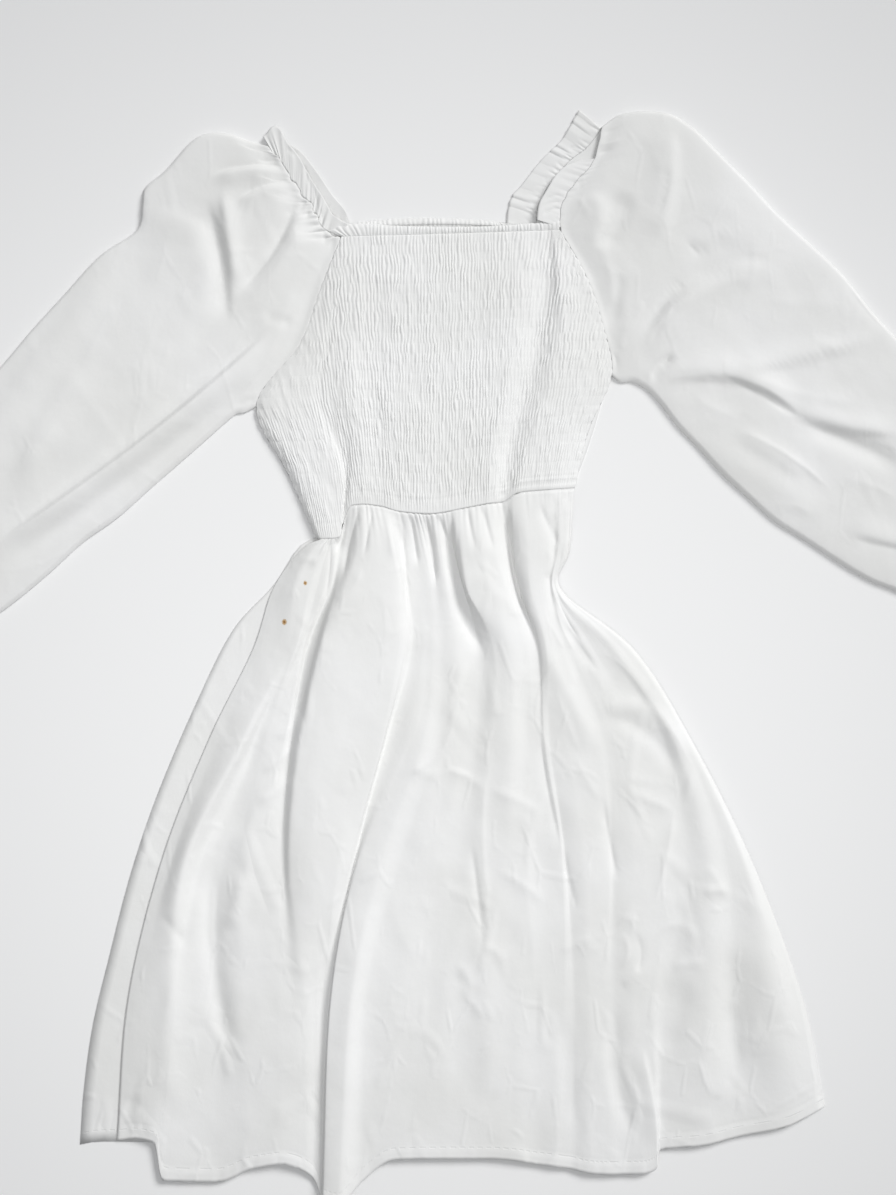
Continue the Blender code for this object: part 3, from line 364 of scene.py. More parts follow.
# Folds are soft and creases are sharper: x and y of each one's start, middle and end, how far it
# stands or sinks, and how wide its left and right sides are.
LEFT_SLEEVE_FOLDS = (
    (-205.7, 389.3, -194.7, 345.1, -187, 282.2, -4.2, 3.6, 12),
    (-192.1, 397.8, -187, 360.4, -178.5, 311.1, 3.4, 8, 3.5),
    (-253.3, 379.1, -210.8, 357, -204, 302.6, 1.2, 7, 14),
    (-139.4, 413.1, -170, 413.1, -198.9, 406.3, 2.4, 9, 2.5),
    (-134.3, 401.2, -156.4, 396.1, -178.5, 385.1, 1.6, 8, 2.5),
    (-128.3, 385.1, -149.6, 343.4, -180.2, 307.7, -2.6, 3.5, 9),
    (-122.4, 374, -142.8, 331.5, -173.4, 297.5, 2.4, 10, 6),
    (-146.2, 277.1, -248.2, 190.4, -392.7, 88.4, 6.5, 12, 3.2),
    (-168.3, 231.2, -248.2, 168.3, -380.8, 74.8, -2.6, 9, 8),
    (-158.1, 280.5, -253.3, 200.6, -372.3, 112.2, -1.6, 4, 10),
    (-156.4, 289, -144.5, 286.4, -132.6, 283.1, -1.6, 3, 4),
    (-278.8, 345.1, -346.8, 241.4, -431.8, 132.6, 2.6, 30, 26),
    (-299.2, 334.9, -355.3, 260.1, -431.8, 173.4, -1.6, 10, 12),
    (-299.2, 251.6, -340, 200.6, -360.4, 132.6, 1.6, 14, 10),
    (-244.8, 360.4, -299.2, 277.1, -372.3, 192.1, -1.8, 14, 14),
    (-210.8, 277.1, -278.8, 217.6, -363.8, 158.1, 2, 16, 14),
    (-431.8, 149.6, -491.3, 94.3, -542.3, 47.6, 3, 10, 8),
    (-457.3, 81.6, -508.3, 43.4, -550.8, 13.6, 2.6, 9, 7),
    (-465.8, 115.6, -508.3, 73.1, -555, 28.9, -2.2, 7, 7),
)
LEFT_SLEEVE_CREASES = (
    (-136.8, 415.6, -166.6, 417.3, -200.6, 409.7, -2, 1.6, 4),
    (-135.2, 404.6, -156.4, 399.5, -176.8, 390.1, -1.6, 1.8, 4),
    (-128.3, 391, -137.7, 365.5, -153, 338.3, -1.6, 2, 4),
    (-119.8, 391, -123.2, 384.2, -128.3, 376.6, -1.8, 1.6, 2.2),
    (-116.5, 388.4, -118.1, 379.9, -121.5, 370.6, -1.6, 1.6, 2),
    (-112.2, 380.8, -109.6, 372.3, -108, 362.1, -1.6, 1.6, 2.2),
    (-107.1, 368.9, -105.4, 360.4, -103.7, 348.5, -1.3, 1.6, 2.2),
    (-97.8, 355.3, -97.8, 348.5, -96.9, 340, -1.2, 1.6, 2),
    (-141.1, 425, -149.6, 421.6, -161.5, 421.6, -1.4, 1.6, 2.4),
    (-147.9, 430.1, -158.1, 433.5, -171.7, 433.5, 0.9, 3, 3),
    (-258.4, 397.8, -260.1, 385.9, -256.7, 374, 1, 4, 3),
    (-187, 345.1, -176.8, 343.4, -164.9, 345.1, 0.8, 2, 2),
    (-178.5, 340, -170, 333.2, -166.6, 323, 0.8, 2, 2),
    (-158.1, 302.6, -168.3, 297.5, -180.2, 289, 0.9, 4, 4),
    (-166.6, 283.9, -153, 287.3, -136, 285.6, 1, 2, 2.4),
    (-154.7, 276.2, -180.2, 253.3, -200.6, 234.6, -1.4, 1.4, 4),
    (-200.6, 234.6, -244.8, 197.2, -299.2, 154.7, -1.2, 1.6, 5),
    (-163.2, 219.3, -171.7, 215.9, -180.2, 209.1, -1.2, 1.8, 2.4),
    (-158.1, 224.4, -168.3, 221, -176.8, 221, 0.8, 2, 2),
    (-266.9, 132.6, -294.1, 108.8, -355.3, 73.1, 0.8, 2, 2),
    (-278.8, 302.6, -295.8, 277.1, -309.4, 243.1, 0.7, 8, 8),
    (-329.8, 200.6, -351.9, 173.4, -377.4, 149.6, 0.8, 8, 8),
)
RIGHT_SLEEVE_FOLDS = (
    (187, 455.6, 189.5, 411.4, 175.1, 348.5, 3, 6, 14),
    (153, 394.4, 145.3, 369.8, 130.9, 345.1, -2.4, 8, 9),
    (145.3, 326.4, 143.7, 302.6, 137.7, 278.8, -1.6, 5, 6),
    (166.6, 263.5, 193.8, 303.4, 278.8, 331.5, 3.8, 5, 18),
    (164.9, 268.6, 187, 300.9, 258.4, 328.1, -2.4, 8, 4),
    (171.7, 232.9, 180.2, 244.8, 192.1, 256.7, -2.8, 2.6, 4),
    (180.2, 233.8, 235.4, 238, 299.2, 207.4, 4.4, 14, 3.6),
    (287.3, 209.1, 331.5, 195.5, 384.2, 190.4, 3.6, 12, 3.6),
    (299.2, 197.2, 340, 181.9, 388.4, 159.8, -3.2, 6, 9),
    (239.7, 237.2, 271.1, 249.9, 334.9, 263.5, 2.4, 9, 6),
    (243.1, 191.2, 271.1, 175.1, 304.3, 153, 1.6, 9, 7),
    (337.4, 108.8, 380.8, 96.9, 435.2, 85, 2.4, 12, 6),
    (204, 349.3, 226.1, 357.8, 248.2, 362.9, 1.4, 5, 7),
    (312.8, 264.3, 333.2, 263.5, 362.1, 278.8, 1.6, 5, 7),
    (214.2, 404.6, 248.2, 362.1, 299.2, 319.6, 1.4, 20, 18),
    (120.7, 396.1, 129.2, 374.8, 126.6, 349.3, 1.8, 8, 8),
    (214.2, 183.6, 265.2, 151.3, 324.7, 115.6, 1.6, 12, 12),
    (409.7, 158.1, 477.7, 124.1, 537.2, 73.1, 3, 10, 8),
    (435.2, 98.6, 477.7, 81.6, 520.2, 47.6, 2.6, 9, 7),
    (426.7, 128.3, 477.7, 94.3, 528.7, 54.4, -2.2, 7, 7),
)
RIGHT_SLEEVE_CREASES = (
    (181.9, 233.8, 227.8, 238, 265.2, 221, -1.4, 3.5, 1.5),
    (265.2, 221, 307.7, 200.6, 351.9, 192.1, -1.4, 4, 1.8),
    (187, 418.2, 185.3, 399.5, 175.9, 368.9, -1.4, 2, 3.5),
    (144.5, 394.4, 136, 370.6, 125.8, 346.8, -1.2, 3, 4),
    (139.4, 258.4, 142.8, 251.6, 141.1, 241.4, -1.6, 1.8, 2.4),
    (147.9, 258.4, 147.9, 268.6, 153, 283.9, 1, 2.5, 3),
    (168.3, 234.6, 176.8, 241.4, 185.3, 246.5, 1.2, 1.8, 2.4),
    (173.4, 266.9, 183.6, 285.6, 200.6, 299.2, -1.2, 3, 2),
    (185.3, 306, 190.4, 312.8, 202.3, 314.5, -1, 1.8, 2.4),
    (204, 351.1, 210.8, 343.4, 221, 350.2, -1, 1.8, 2.6),
    (221, 350.2, 232.9, 358.7, 248.2, 361.2, -1, 1.8, 2.6),
    (249.9, 243.1, 299.2, 251.6, 357, 272, 1.4, 3, 3),
    (244.8, 192.1, 283.9, 173.4, 324.7, 141.1, 1.2, 2.4, 2.4),
    (345.1, 98.6, 367.2, 94.3, 392.7, 88.4, -1.4, 2, 3),
    (275.4, 124.1, 290.7, 127.5, 309.4, 120.7, 0.9, 3, 3),
    (338.3, 319.6, 351.9, 297.5, 374, 275.4, -1, 2.4, 3),
    (115.6, 448.8, 129.2, 445.4, 147.9, 450.5, -1, 1.6, 2.2),
    (113.9, 438.6, 129.2, 435.2, 149.6, 440.3, 0.9, 2.2, 2.2),
    (112.2, 430.1, 125.8, 428.4, 142.8, 431.8, -0.9, 1.8, 2.4),
    (108.8, 391, 115.6, 382.5, 119, 368.9, 0.7, 3, 3),
    (184.4, 308.6, 195.5, 311.1, 207.4, 310.2, 0.8, 3, 4),
    (248.2, 241.4, 290.7, 224.4, 358.7, 214.2, 0.8, 5, 5),
    (351.9, 180.2, 367.2, 177.7, 380.8, 170.8, -1, 3, 4),
    (163.2, 445.4, 173.4, 430.1, 181.9, 408, 0.6, 6, 6),
    (134.3, 334.9, 139.4, 316.2, 139.4, 297.5, 0.9, 3, 4),
    (149.6, 277.1, 159.8, 287.3, 164.9, 302.6, 0.9, 4, 4),
    (205.7, 224.4, 224.4, 210.8, 248.2, 202.3, 0.7, 5, 5),
    (333.2, 149.6, 355.3, 146.2, 380.8, 134.3, 0.9, 5, 5),
    (273.7, 302.6, 299.2, 299.2, 329.8, 302.6, 0.7, 6, 6),
    (316.2, 214.2, 341.7, 221, 370.6, 241.4, 0.8, 5, 5),
)
FRILL_CREASES = (
    (80.8, 374, 87.5, 379.1, 96, 380.8, -0.9, 1.2, 1.6),
    (79, 379.1, 87.5, 385.1, 96.9, 385.9, -0.7, 1.2, 1.6),
    (80.8, 385.1, 89.2, 391, 98.6, 391, -0.5, 1.2, 1.8),
    (102, 431.8, 107.1, 433.5, 113, 430.1, -0.8, 1.2, 1.6),
    (-137.7, 433.5, -134.3, 430.1, -129.2, 425, -0.9, 1.2, 1.6),
    (-123.2, 419.1, -120.7, 411.4, -118.1, 399.5, -0.7, 1.2, 1.6),
    (-114.8, 401.2, -112.2, 389.3, -110.5, 377.4, -0.7, 1.2, 1.6),
    (-108.8, 380.8, -107.1, 372.3, -106.2, 362.1, -0.7, 1.2, 1.6),
)
SKIRT_FOLDS = (
    (6, 108.8, 11.9, 56.1, 30.6, 0.8, -4, 2.6, 7),
    (-104.5, 39.1, -117.3, 3.4, -129.2, -67.1, -3.5, 5, 1.6),
    (51, 122.4, 55.2, 90.1, 64.6, 37.4, -4, 4, 5),
    (-197.2, -164.9, -200.6, -249.9, -180.2, -346.8, -2.6, 8, 8),
    (-174.2, -183.6, -180.2, -211.7, -187, -232.9, 2.2, 8, 7),
    (-270.3, -370.6, -273.7, -390.1, -277.1, -411.4, -2, 8, 9),
    (-158.1, -62.9, -176.8, -109.6, -207.4, -166.6, -2.2, 8, 5),
    (-25.5, -37.4, -18.7, -113.9, -28.9, -190.4, 1.4, 14, 16),
    (-6.8, -173.4, -13.6, -241.4, -17, -317.9, -1.2, 14, 14),
    (44.2, -28.9, 51, -96.9, 49.3, -173.4, 1.4, 12, 12),
    (78.2, 13.6, 100.3, -28.9, 127.5, -85, 1.6, 7, 8),
    (132.6, -37.4, 163.2, -40.8, 207.4, -91.8, 1.8, 8, 9),
    (129.2, -51, 158.1, -57.8, 193.8, -102, -1.2, 6, 7),
    (202.3, -275.4, 194.7, -307.7, 185.3, -340, -1.3, 9, 12),
    (238.8, -249.9, 240.5, -300.9, 244.8, -357, -1.8, 10, 10),
    (214.2, -173.4, 224.4, -241.4, 221, -300.9, 1, 12, 12),
    (268.6, -241.4, 277.1, -300.9, 277.9, -367.2, 1.2, 10, 12),
    (251.6, -224.4, 261.8, -292.4, 266.9, -357, 1.5, 16, 14),
    (141.9, -296.6, 139.4, -343.4, 164.9, -418.2, -1.6, 7, 6),
    (99.5, -305.1, 102, -360.4, 107.1, -402.9, -1.4, 6, 6),
    (163.2, -331.5, 171.7, -368.9, 179.3, -418.2, 1.6, 3, 8),
    (96.9, 28.9, 110.5, 9.3, 125.8, -11.9, -1.6, 3, 6),
    (-64.6, -207.4, -81.6, -300.9, -83.3, -394.4, 1.6, 12, 12),
    (-125.8, -207.4, -127.5, -292.4, -125.8, -377.4, 1.2, 12, 14),
    (-229.5, -258.4, -236.3, -326.4, -231.2, -394.4, 1.4, 9, 9),
    (27.2, -207.4, 32.3, -292.4, 35.7, -377.4, 1.2, 12, 12),
)
SKIRT_CREASES = (
    (-104.5, 97.8, -119, 94.3, -129.2, 88.4, -1.6, 1.8, 2.4),
    (-102.8, 95.2, -108.8, 85, -116.5, 75.6, 1.2, 2, 2.4),
    (-99.5, 98.6, -100.3, 76.5, -104.5, 45.9, -1.6, 1.8, 2.6),
    (-129.2, 85, -119, 81.6, -108.8, 83.3, 1, 2.4, 2.4),
    (77.3, 128.3, 85.8, 110.5, 96, 91.8, -1.8, 1.8, 2.4),
    (96.9, 91.8, 95.2, 79.9, 91.8, 62.9, -2, 1.8, 2.4),
    (89.2, 115.6, 93.5, 122.4, 99.5, 128.3, 1.4, 2, 2),
    (81.6, 69.7, 86.7, 64.6, 93.5, 57.8, -1.6, 1.8, 2.4),
    (91.8, 54.4, 96.9, 39.1, 113.9, 11.9, -1.8, 2, 3),
    (91.8, 44.2, 96.9, 23.8, 108.8, 3.4, 1.2, 2.6, 2.6),
    (85, 91.8, 87.5, 79.9, 85.8, 68, 1.1, 2, 2.4),
    (-39.9, 120.7, -37.4, 94.3, -37.4, 13.6, -3.2, 2, 4),
    (-31.4, 121.5, -28.9, 102.8, -25.5, 76.5, -3, 1.8, 3),
    (-19.6, 121.5, -15.3, 102, -10.2, 59.5, -3.4, 1.8, 3.4),
    (-9.3, 122.4, -1.7, 102, 6.8, 64.6, -3.6, 1.8, 4),
    (-74, 129.2, -81.6, 103.7, -88.4, 64.6, -1.8, 2, 2.8),
    (-63.8, 129.2, -66.3, 112.2, -71.4, 85, -1.6, 1.8, 2.6),
    (-51, 126.6, -49.3, 107.1, -45.9, 81.6, 1, 2.4, 2.4),
    (15.3, 129.2, 18.7, 112.2, 23.8, 88.4, -1.6, 1.6, 2.4),
    (27.2, 130, 32.3, 113.9, 39.1, 88.4, -1.8, 1.6, 2.4),
    (-96.9, 47.6, -81.6, 57.8, -73.1, 73.1, 0.9, 3, 3),
    (19.6, -159.8, 24.6, -194.7, 29.8, -245.7, -1.7, 2, 2.8),
    (32.3, -98.6, 29.8, -156.4, 35.7, -217.6, 0.9, 2.4, 6),
    (78.2, -67.1, 85, -113.9, 96.9, -164.9, -1.5, 2, 3.4),
    (96.9, -161.5, 102, -187, 109.6, -215.9, -1.3, 2, 3.4),
    (131.8, -120.7, 136.8, -154.7, 144.5, -190.4, -1.7, 2, 3.4),
    (-87.5, 124.1, -91, 107.1, -94.3, 86.7, -4, 2.2, 2.6),
    (-39.1, -101.1, -10.2, -85, 6, -52.7, 1.2, 5.2, 3.9),
    (-30.6, -95.2, -18.7, -98.6, -5.1, -98.6, 0.9, 3.9, 3.9),
    (-3.4, -96, 15.3, -102.8, 34, -113.9, 1, 3.4, 4.4),
    (34, -112.2, 56.1, -120.7, 79.9, -134.3, 1.1, 3.4, 4.4),
    (41.6, -181.9, 61.2, -192.1, 82.5, -209.9, 1, 3.4, 4.4),
    (9.3, -275.4, 18.7, -260.9, 30.6, -246.5, 1, 3.4, 4),
    (-244.8, -219.3, -234.6, -229.5, -222.7, -246.5, -1.2, 3.9, 5.2),
    (-147, -69.7, -134.3, -62.9, -125.8, -47.6, 1.3, 3.9, 3.9),
    (-158.1, -98.6, -141.1, -86.7, -126.6, -73.1, 1.4, 3.9, 3.9),
    (-163.2, -124.1, -146.2, -115.6, -129.2, -102, 1.3, 3.9, 3.9),
    (142.8, -226.1, 151.3, -221, 158.1, -232.9, 0.9, 3.2, 3.4),
    (147, -234.6, 153, -249.9, 146.2, -265.2, 0.9, 2.6, 3.4),
    (158.1, -234.6, 164, -249.9, 159.8, -270.3, -0.9, 2.6, 3.4),
    (147.9, -279.6, 155.5, -272.8, 163.2, -264.3, 1, 3.2, 3.2),
    (176.8, -234.6, 195.5, -227.8, 214.2, -244.8, 0.8, 3.2, 4.4),
    (189.5, -264.3, 204, -260.9, 219.3, -260.1, 1, 3.2, 3.4),
    (211.7, -341.7, 219.3, -360.4, 226.1, -375.7, 0.9, 3.2, 4),
    (226.1, -375.7, 232.9, -370.6, 238.8, -360.4, 0.9, 3.2, 4),
    (216.8, -201.4, 227.8, -197.2, 239.7, -199.8, 1.1, 3.2, 3.9),
    (217.6, -178.5, 227.8, -188.7, 234.6, -204, 1, 3.9, 3.9),
    (192.1, -129.2, 187, -164.9, 175.1, -209.1, 1.3, 2.6, 4.4),
    (153.8, -114.8, 173.4, -123.2, 192.9, -131.8, 1.2, 3.4, 3.9),
    (10.2, -278.8, 18.7, -290.7, 30.6, -307.7, 1, 3.9, 4.5),
    (6.8, -260.1, 15.3, -270.3, 20.4, -285.6, 0.9, 3.9, 3.9),
    (27.2, -244.8, 39.1, -249.9, 51, -260.1, 0.9, 3.9, 3.9),
    (95.2, -251.6, 108.8, -244.8, 122.4, -238, 0.9, 3.9, 3.9),
    (239.7, -294.1, 243.9, -323, 249, -358.7, -1, 5.2, 5.2),
    (108, -86.7, 117.3, -103.7, 129.2, -122.4, 0.9, 5.2, 5.2),
    (91.8, -28.9, 100.3, -54.4, 112.2, -81.6, 1, 5.2, 5.2),
    (129.2, 5.1, 153, -13.6, 171.7, -42.5, 0.9, 6.5, 6.5),
    (193.8, -190.4, 205.7, -232.9, 209.1, -275.4, 0.7, 6.5, 6.5),
    (251.6, -207.4, 265.2, -249.9, 273.7, -300.9, 0.7, 7.8, 7.8),
    (61.2, -173.4, 69.7, -224.4, 73.1, -283.9, 0.7, 7.8, 7.8),
    (-47.6, -207.4, -40.8, -232.9, -23.8, -260.1, 0.6, 7.8, 7.8),
    (-268.6, -370.6, -275.4, -380.8, -280.5, -394.4, 1.1, 3.9, 3.9),
    (-260.1, -384.2, -270.3, -392.7, -280.5, -404.6, 1.1, 3.9, 3.9),
)

# Pleats that run down from the waist: from, to, how far they reach, stand and are drawn in.
WAIST_PLEATS = (
    (-110.5, -81.6, 26, 0.9, 0.3),
    (-81.6, -45.9, 20, 1.1, 0.4),
    (-45.9, 6.8, 34, 1.2, 0.9),
    (6.8, 56.1, 30, 1, 0.9),
    (56.1, 108, 16, 0.7, 0.1),
)
# Middle and size of each small stain on the skirt.
STAINS = (
    (-121.1, 62, 1.9),
    (-139, 28.9, 2.6),
)

# Each sleeve: the bodice column beside it, the sign that moves its raglan away from the bodice, how
# hard its neck edge is drawn up, its lines and its folds.
SLEEVES = {
    "left": {
        "column": 0,
        "sign": 1,
        "drawn": 1.0,
        "top": LEFT_SLEEVE_TOP,
        "under": LEFT_SLEEVE_UNDER,
        "neck": LEFT_NECK_GATHER,
        "back_neck": LEFT_BACK_NECK,
        "folds": LEFT_SLEEVE_FOLDS,
        "creases": LEFT_SLEEVE_CREASES,
    },
    "right": {
        "column": -1,
        "sign": -1,
        "drawn": 0.18,
        "top": RIGHT_SLEEVE_TOP,
        "under": RIGHT_SLEEVE_UNDER,
        "neck": RIGHT_NECK_GATHER,
        "back_neck": RIGHT_BACK_NECK,
        "folds": RIGHT_SLEEVE_FOLDS,
        "creases": RIGHT_SLEEVE_CREASES,
    },
}
# Each frill: its free edge, the stretch of the neck edge that it grows from, how high it starts, its
# wave, how far that stands, how blocked it is, how deep it is cut in metres, and its own unevenness.
FRILLS = {
    ("left", "front"): (LEFT_FRONT_FRILL, (0.02, 0.93), 3.0, 13.0, 0.28, 0.1, 0.013, 105),
    ("left", "back"): (LEFT_BACK_FRILL, (0.02, 0.78), 1.0, 24.0, 0.25, 0.0, 0.01, 104),
    ("right", "front"): (RIGHT_FRONT_FRILL, (0.02, 0.72), 3.0, 26.0, 0.12, 0.0, 0.015, 107),
    ("right", "back"): (RIGHT_BACK_FRILL, (0.02, 1.0), 1.0, 11.5, 0.6, 0.7, 0.018, 106),
}
# The section of each neck casing, from its upper edge to its seam: how far down, as a share of its
# depth, and how high.
ROUND_CASING = ((0, 3.5), (0.1, 4.7), (0.35, 5.6), (0.7, 5.6), (0.9, 5.2), (1, 5))
FLAT_CASING = ((0, 0.9), (0.15, 1.8), (0.35, 2.6), (0.54, 2.4), (0.66, 1.6), (1, 1.2))


def bell(distance, width):
    """Return 1 where a distance is nothing, with a smooth fall to 0 by about two widths."""
    return np.exp(-((distance / width) ** 2))


def climb(distance, width):
    """Return a straight climb from 0 to 1 over a width."""
    return np.clip(distance / width, 0, 1)


def eased(share):
    """Return a climb from 0 to 1 that starts and ends softly."""
    return share * share * (3 - 2 * share)


def to_end(share):
    """Return how far a share is from the nearer one of 0 and 1."""
    return np.minimum(share, 1 - share)


def refine(values, steps, monotone):
    """Return a smooth curve through the rows of a table, with new rows in each gap."""
    values = np.asarray(values, float)
    step = np.diff(values, axis=0)
    slope = np.zeros_like(values)
    slope[0] = step[0]
    slope[-1] = step[-1]
    before = step[:-1]
    after = step[1:]
    if monotone:
        rising = before * after > 0
        total = np.where(rising, before + after, 1.0)
        slope[1:-1] = np.where(rising, 2 * before * after / total, 0.0)
    else:
        slope[1:-1] = (before + after) / 2
    rows = []
    for gap, count in enumerate(steps):
        for part in range(count):
            u = part / count
            rows.append(
                values[gap] * (2 * u**3 - 3 * u**2 + 1)
                + slope[gap] * (u**3 - 2 * u**2 + u)
                + values[gap + 1] * (3 * u**2 - 2 * u**3)
                + slope[gap + 1] * (u**3 - u**2)
            )
    rows.append(values[-1])
    return np.array(rows)


def trace(points, fractions):
    """Return points at fractions of the length of a smooth curve through a table."""
    return resample(refine(points, [TRACE_STEPS] * (len(points) - 1), False), fractions)


def run_of(points):
    """Return how far along a line each of its points lies, in plan."""
    lengths = np.linalg.norm(np.diff(points[:, :2], axis=0), axis=1)
    return np.concatenate(([0.0], np.cumsum(lengths)))


def resample(points, fractions):
    """Return points at fractions of the length of a line of straight pieces."""
    run = run_of(points)
    run = run / run[-1]
    return np.stack([np.interp(fractions, run, points[:, axis]) for axis in range(points.shape[1])], axis=1)


def outward(points, distance, sign):
    """Move a line sideways in plan, to its left where the sign is positive."""
    along = np.gradient(points[:, :2], axis=0)
    along /= np.linalg.norm(along, axis=1, keepdims=True)
    side = np.stack([-along[:, 1], along[:, 0]], axis=1)
    moved = points.copy()
    moved[:, :2] += sign * distance * side
    return moved


def patch(low, high, start, end, down, across):
    """Return the smooth patch that lies between four edges, indexed by down and across."""
    v = np.asarray(down)[:, None, None]
    u = np.asarray(across)[None, :, None]
    corner = (
        (1 - u) * (1 - v) * start[0]
        + u * (1 - v) * start[-1]
        + (1 - u) * v * end[0]
        + u * v * end[-1]
    )
    return (
        (1 - u) * low[:, None, :]
        + u * high[:, None, :]
        + (1 - v) * start[None, :, :]
        + v * end[None, :, :]
        - corner
    )


def even_across(grid, count, level):
    """Space the columns of a grid evenly along one of its rows."""
    line = grid[level]
    run = run_of(line)
    places = np.interp(np.linspace(0, run[-1], count + 1), run, np.arange(len(line)))
    low = np.minimum(np.floor(places).astype(int), len(line) - 2)
    part = (places - low)[None, :, None]
    return grid[:, low] * (1 - part) + grid[:, low + 1] * part


def laid_flat(plan):
    """Return a plan's points at the upper side of a back panel."""
    height = np.full(plan.shape[:2] + (1,), BACK_TOP_SIDE)
    return np.concatenate([plan, height], axis=2)


def lattice(i, j, seed):
    """Return a fixed value from -1 to 1 for each whole-numbered place."""
    mixed = i.astype(np.int64) * SCATTER_ACROSS + j.astype(np.int64) * SCATTER_DOWN + seed * SCATTER_SEED
    mixed = mixed & WORD
    mixed = ((mixed ^ (mixed >> 13)) * SCATTER_AGAIN) & WORD
    return ((mixed ^ (mixed >> 16)) & HALF_WORD) / (HALF_WORD / 2) - 1.0


def unevenness(x, y, seed):
    """Return smooth uneven values from -1 to 1, about one bump to each unit of x and y."""
    x, y = np.broadcast_arrays(np.asarray(x, float), np.asarray(y, float))
    low_x = np.floor(x)
    low_y = np.floor(y)
    u = x - low_x
    v = y - low_y
    u = u * u * u * (u * (6 * u - 15) + 10)
    v = v * v * v * (v * (6 * v - 15) + 10)
    top = lattice(low_x, low_y, seed) * (1 - u) + lattice(low_x + 1, low_y, seed) * u
    bottom = lattice(low_x, low_y + 1, seed) * (1 - u) + lattice(low_x + 1, low_y + 1, seed) * u
    return top * (1 - v) + bottom * v


def relief(x, y, table, crisp=False):
    """Return the height that a table of folds adds at points of the plan."""
    total = np.zeros_like(x)
    for from_x, from_y, mid_x, mid_y, to_x, to_y, rise, left, right in table:
        length = math.hypot(to_x - from_x, to_y - from_y)
        along_x = (to_x - from_x) / length
        along_y = (to_y - from_y) / length
        bow = (mid_y - from_y) * along_x - (mid_x - from_x) * along_y
        run = ((x - from_x) * along_x + (y - from_y) * along_y) / length
        side = (y - from_y) * along_x - (x - from_x) * along_y
        inside = np.clip(run, 0.0, 1.0)
        side = side - bow * 4 * inside * (1 - inside)
        fade = eased(np.clip(to_end(run) / 0.3 + 0.12, 0.0, 1.0))
        away = np.abs(side) / np.where(side > 0, left, right)
        total += rise * fade * (np.exp(-1.4 * away) * (1 + 0.7 * away) if crisp else bell(away, 1.0))
    return total


def gathers(across, down, sway, seed):
    """Return uneven gathers from 0 in each crease to 1 on each ridge, one to a unit across."""
    slow = unevenness(across * 0.43, down * 0.7, seed)
    quick = unevenness(across * 0.9, down * 1.9, seed + 1)
    wave = np.abs(np.sin(np.pi * (across + sway * (slow + 0.5 * quick))))
    strength = 0.74 + 0.42 * unevenness(across * 0.31, down * 0.55, seed + 2)
    return wave * np.clip(strength, 0.2, 1.2)


def smocking(across, band, seed):
    """Return the broken gathers between rows of shirring, one to a unit across."""
    row = np.floor(band)
    drift = 0.34 * unevenness(across * 0.5, band * 0.7, seed)
    drift = drift + 0.26 * unevenness(across * 0.7, row * 5.17, seed + 1)
    strength = 0.62 + 0.4 * unevenness(across * 0.9, band * 0.8, seed + 2)
    strength = strength + 0.25 * unevenness(across * 0.2, band * 0.3, seed + 3)
    strength = strength + 0.34 * unevenness(across * 0.8, row * 3.31, seed + 4)
    return np.abs(np.sin(np.pi * (across + drift))) * np.clip(strength, 0.12, 1.2)


def bodice_front_points(count):
    """Return the smocked front without its gathers, indexed by down and across."""
    columns = []
    for places, top, bottom, heights in BODICE_LINES:
        y = top + (bottom - top) * np.array(BODICE_LEVELS)
        columns.append(np.stack([places, y, heights], axis=1))
    fine = refine(columns, [BODICE_ACROSS] * (len(columns) - 1), True)
    grid = refine(fine.transpose(1, 0, 2), BODICE_DOWN, False)
    return even_across(grid, count, len(grid) // 2)


def bodice_back_points():
    """Return the plan of the bodice back."""
    half = np.linspace(0, 1, BACK_ARMHOLE + 1)
    across = np.linspace(0, 1, BACK_COLUMNS + 1)
    return patch(
        np.concatenate([trace(BACK_RAGLAN_LEFT, half)[:-1], trace(BACK_SIDE_LEFT, half)]),
        np.concatenate([trace(BACK_RAGLAN_RIGHT, half)[:-1], trace(BACK_SIDE_RIGHT, half)]),
        trace(BODICE_BACK_TOP, across),
        trace(BACK_WAIST, across),
        np.linspace(0, 1, 2 * BACK_ARMHOLE + 1),
        across,
    )


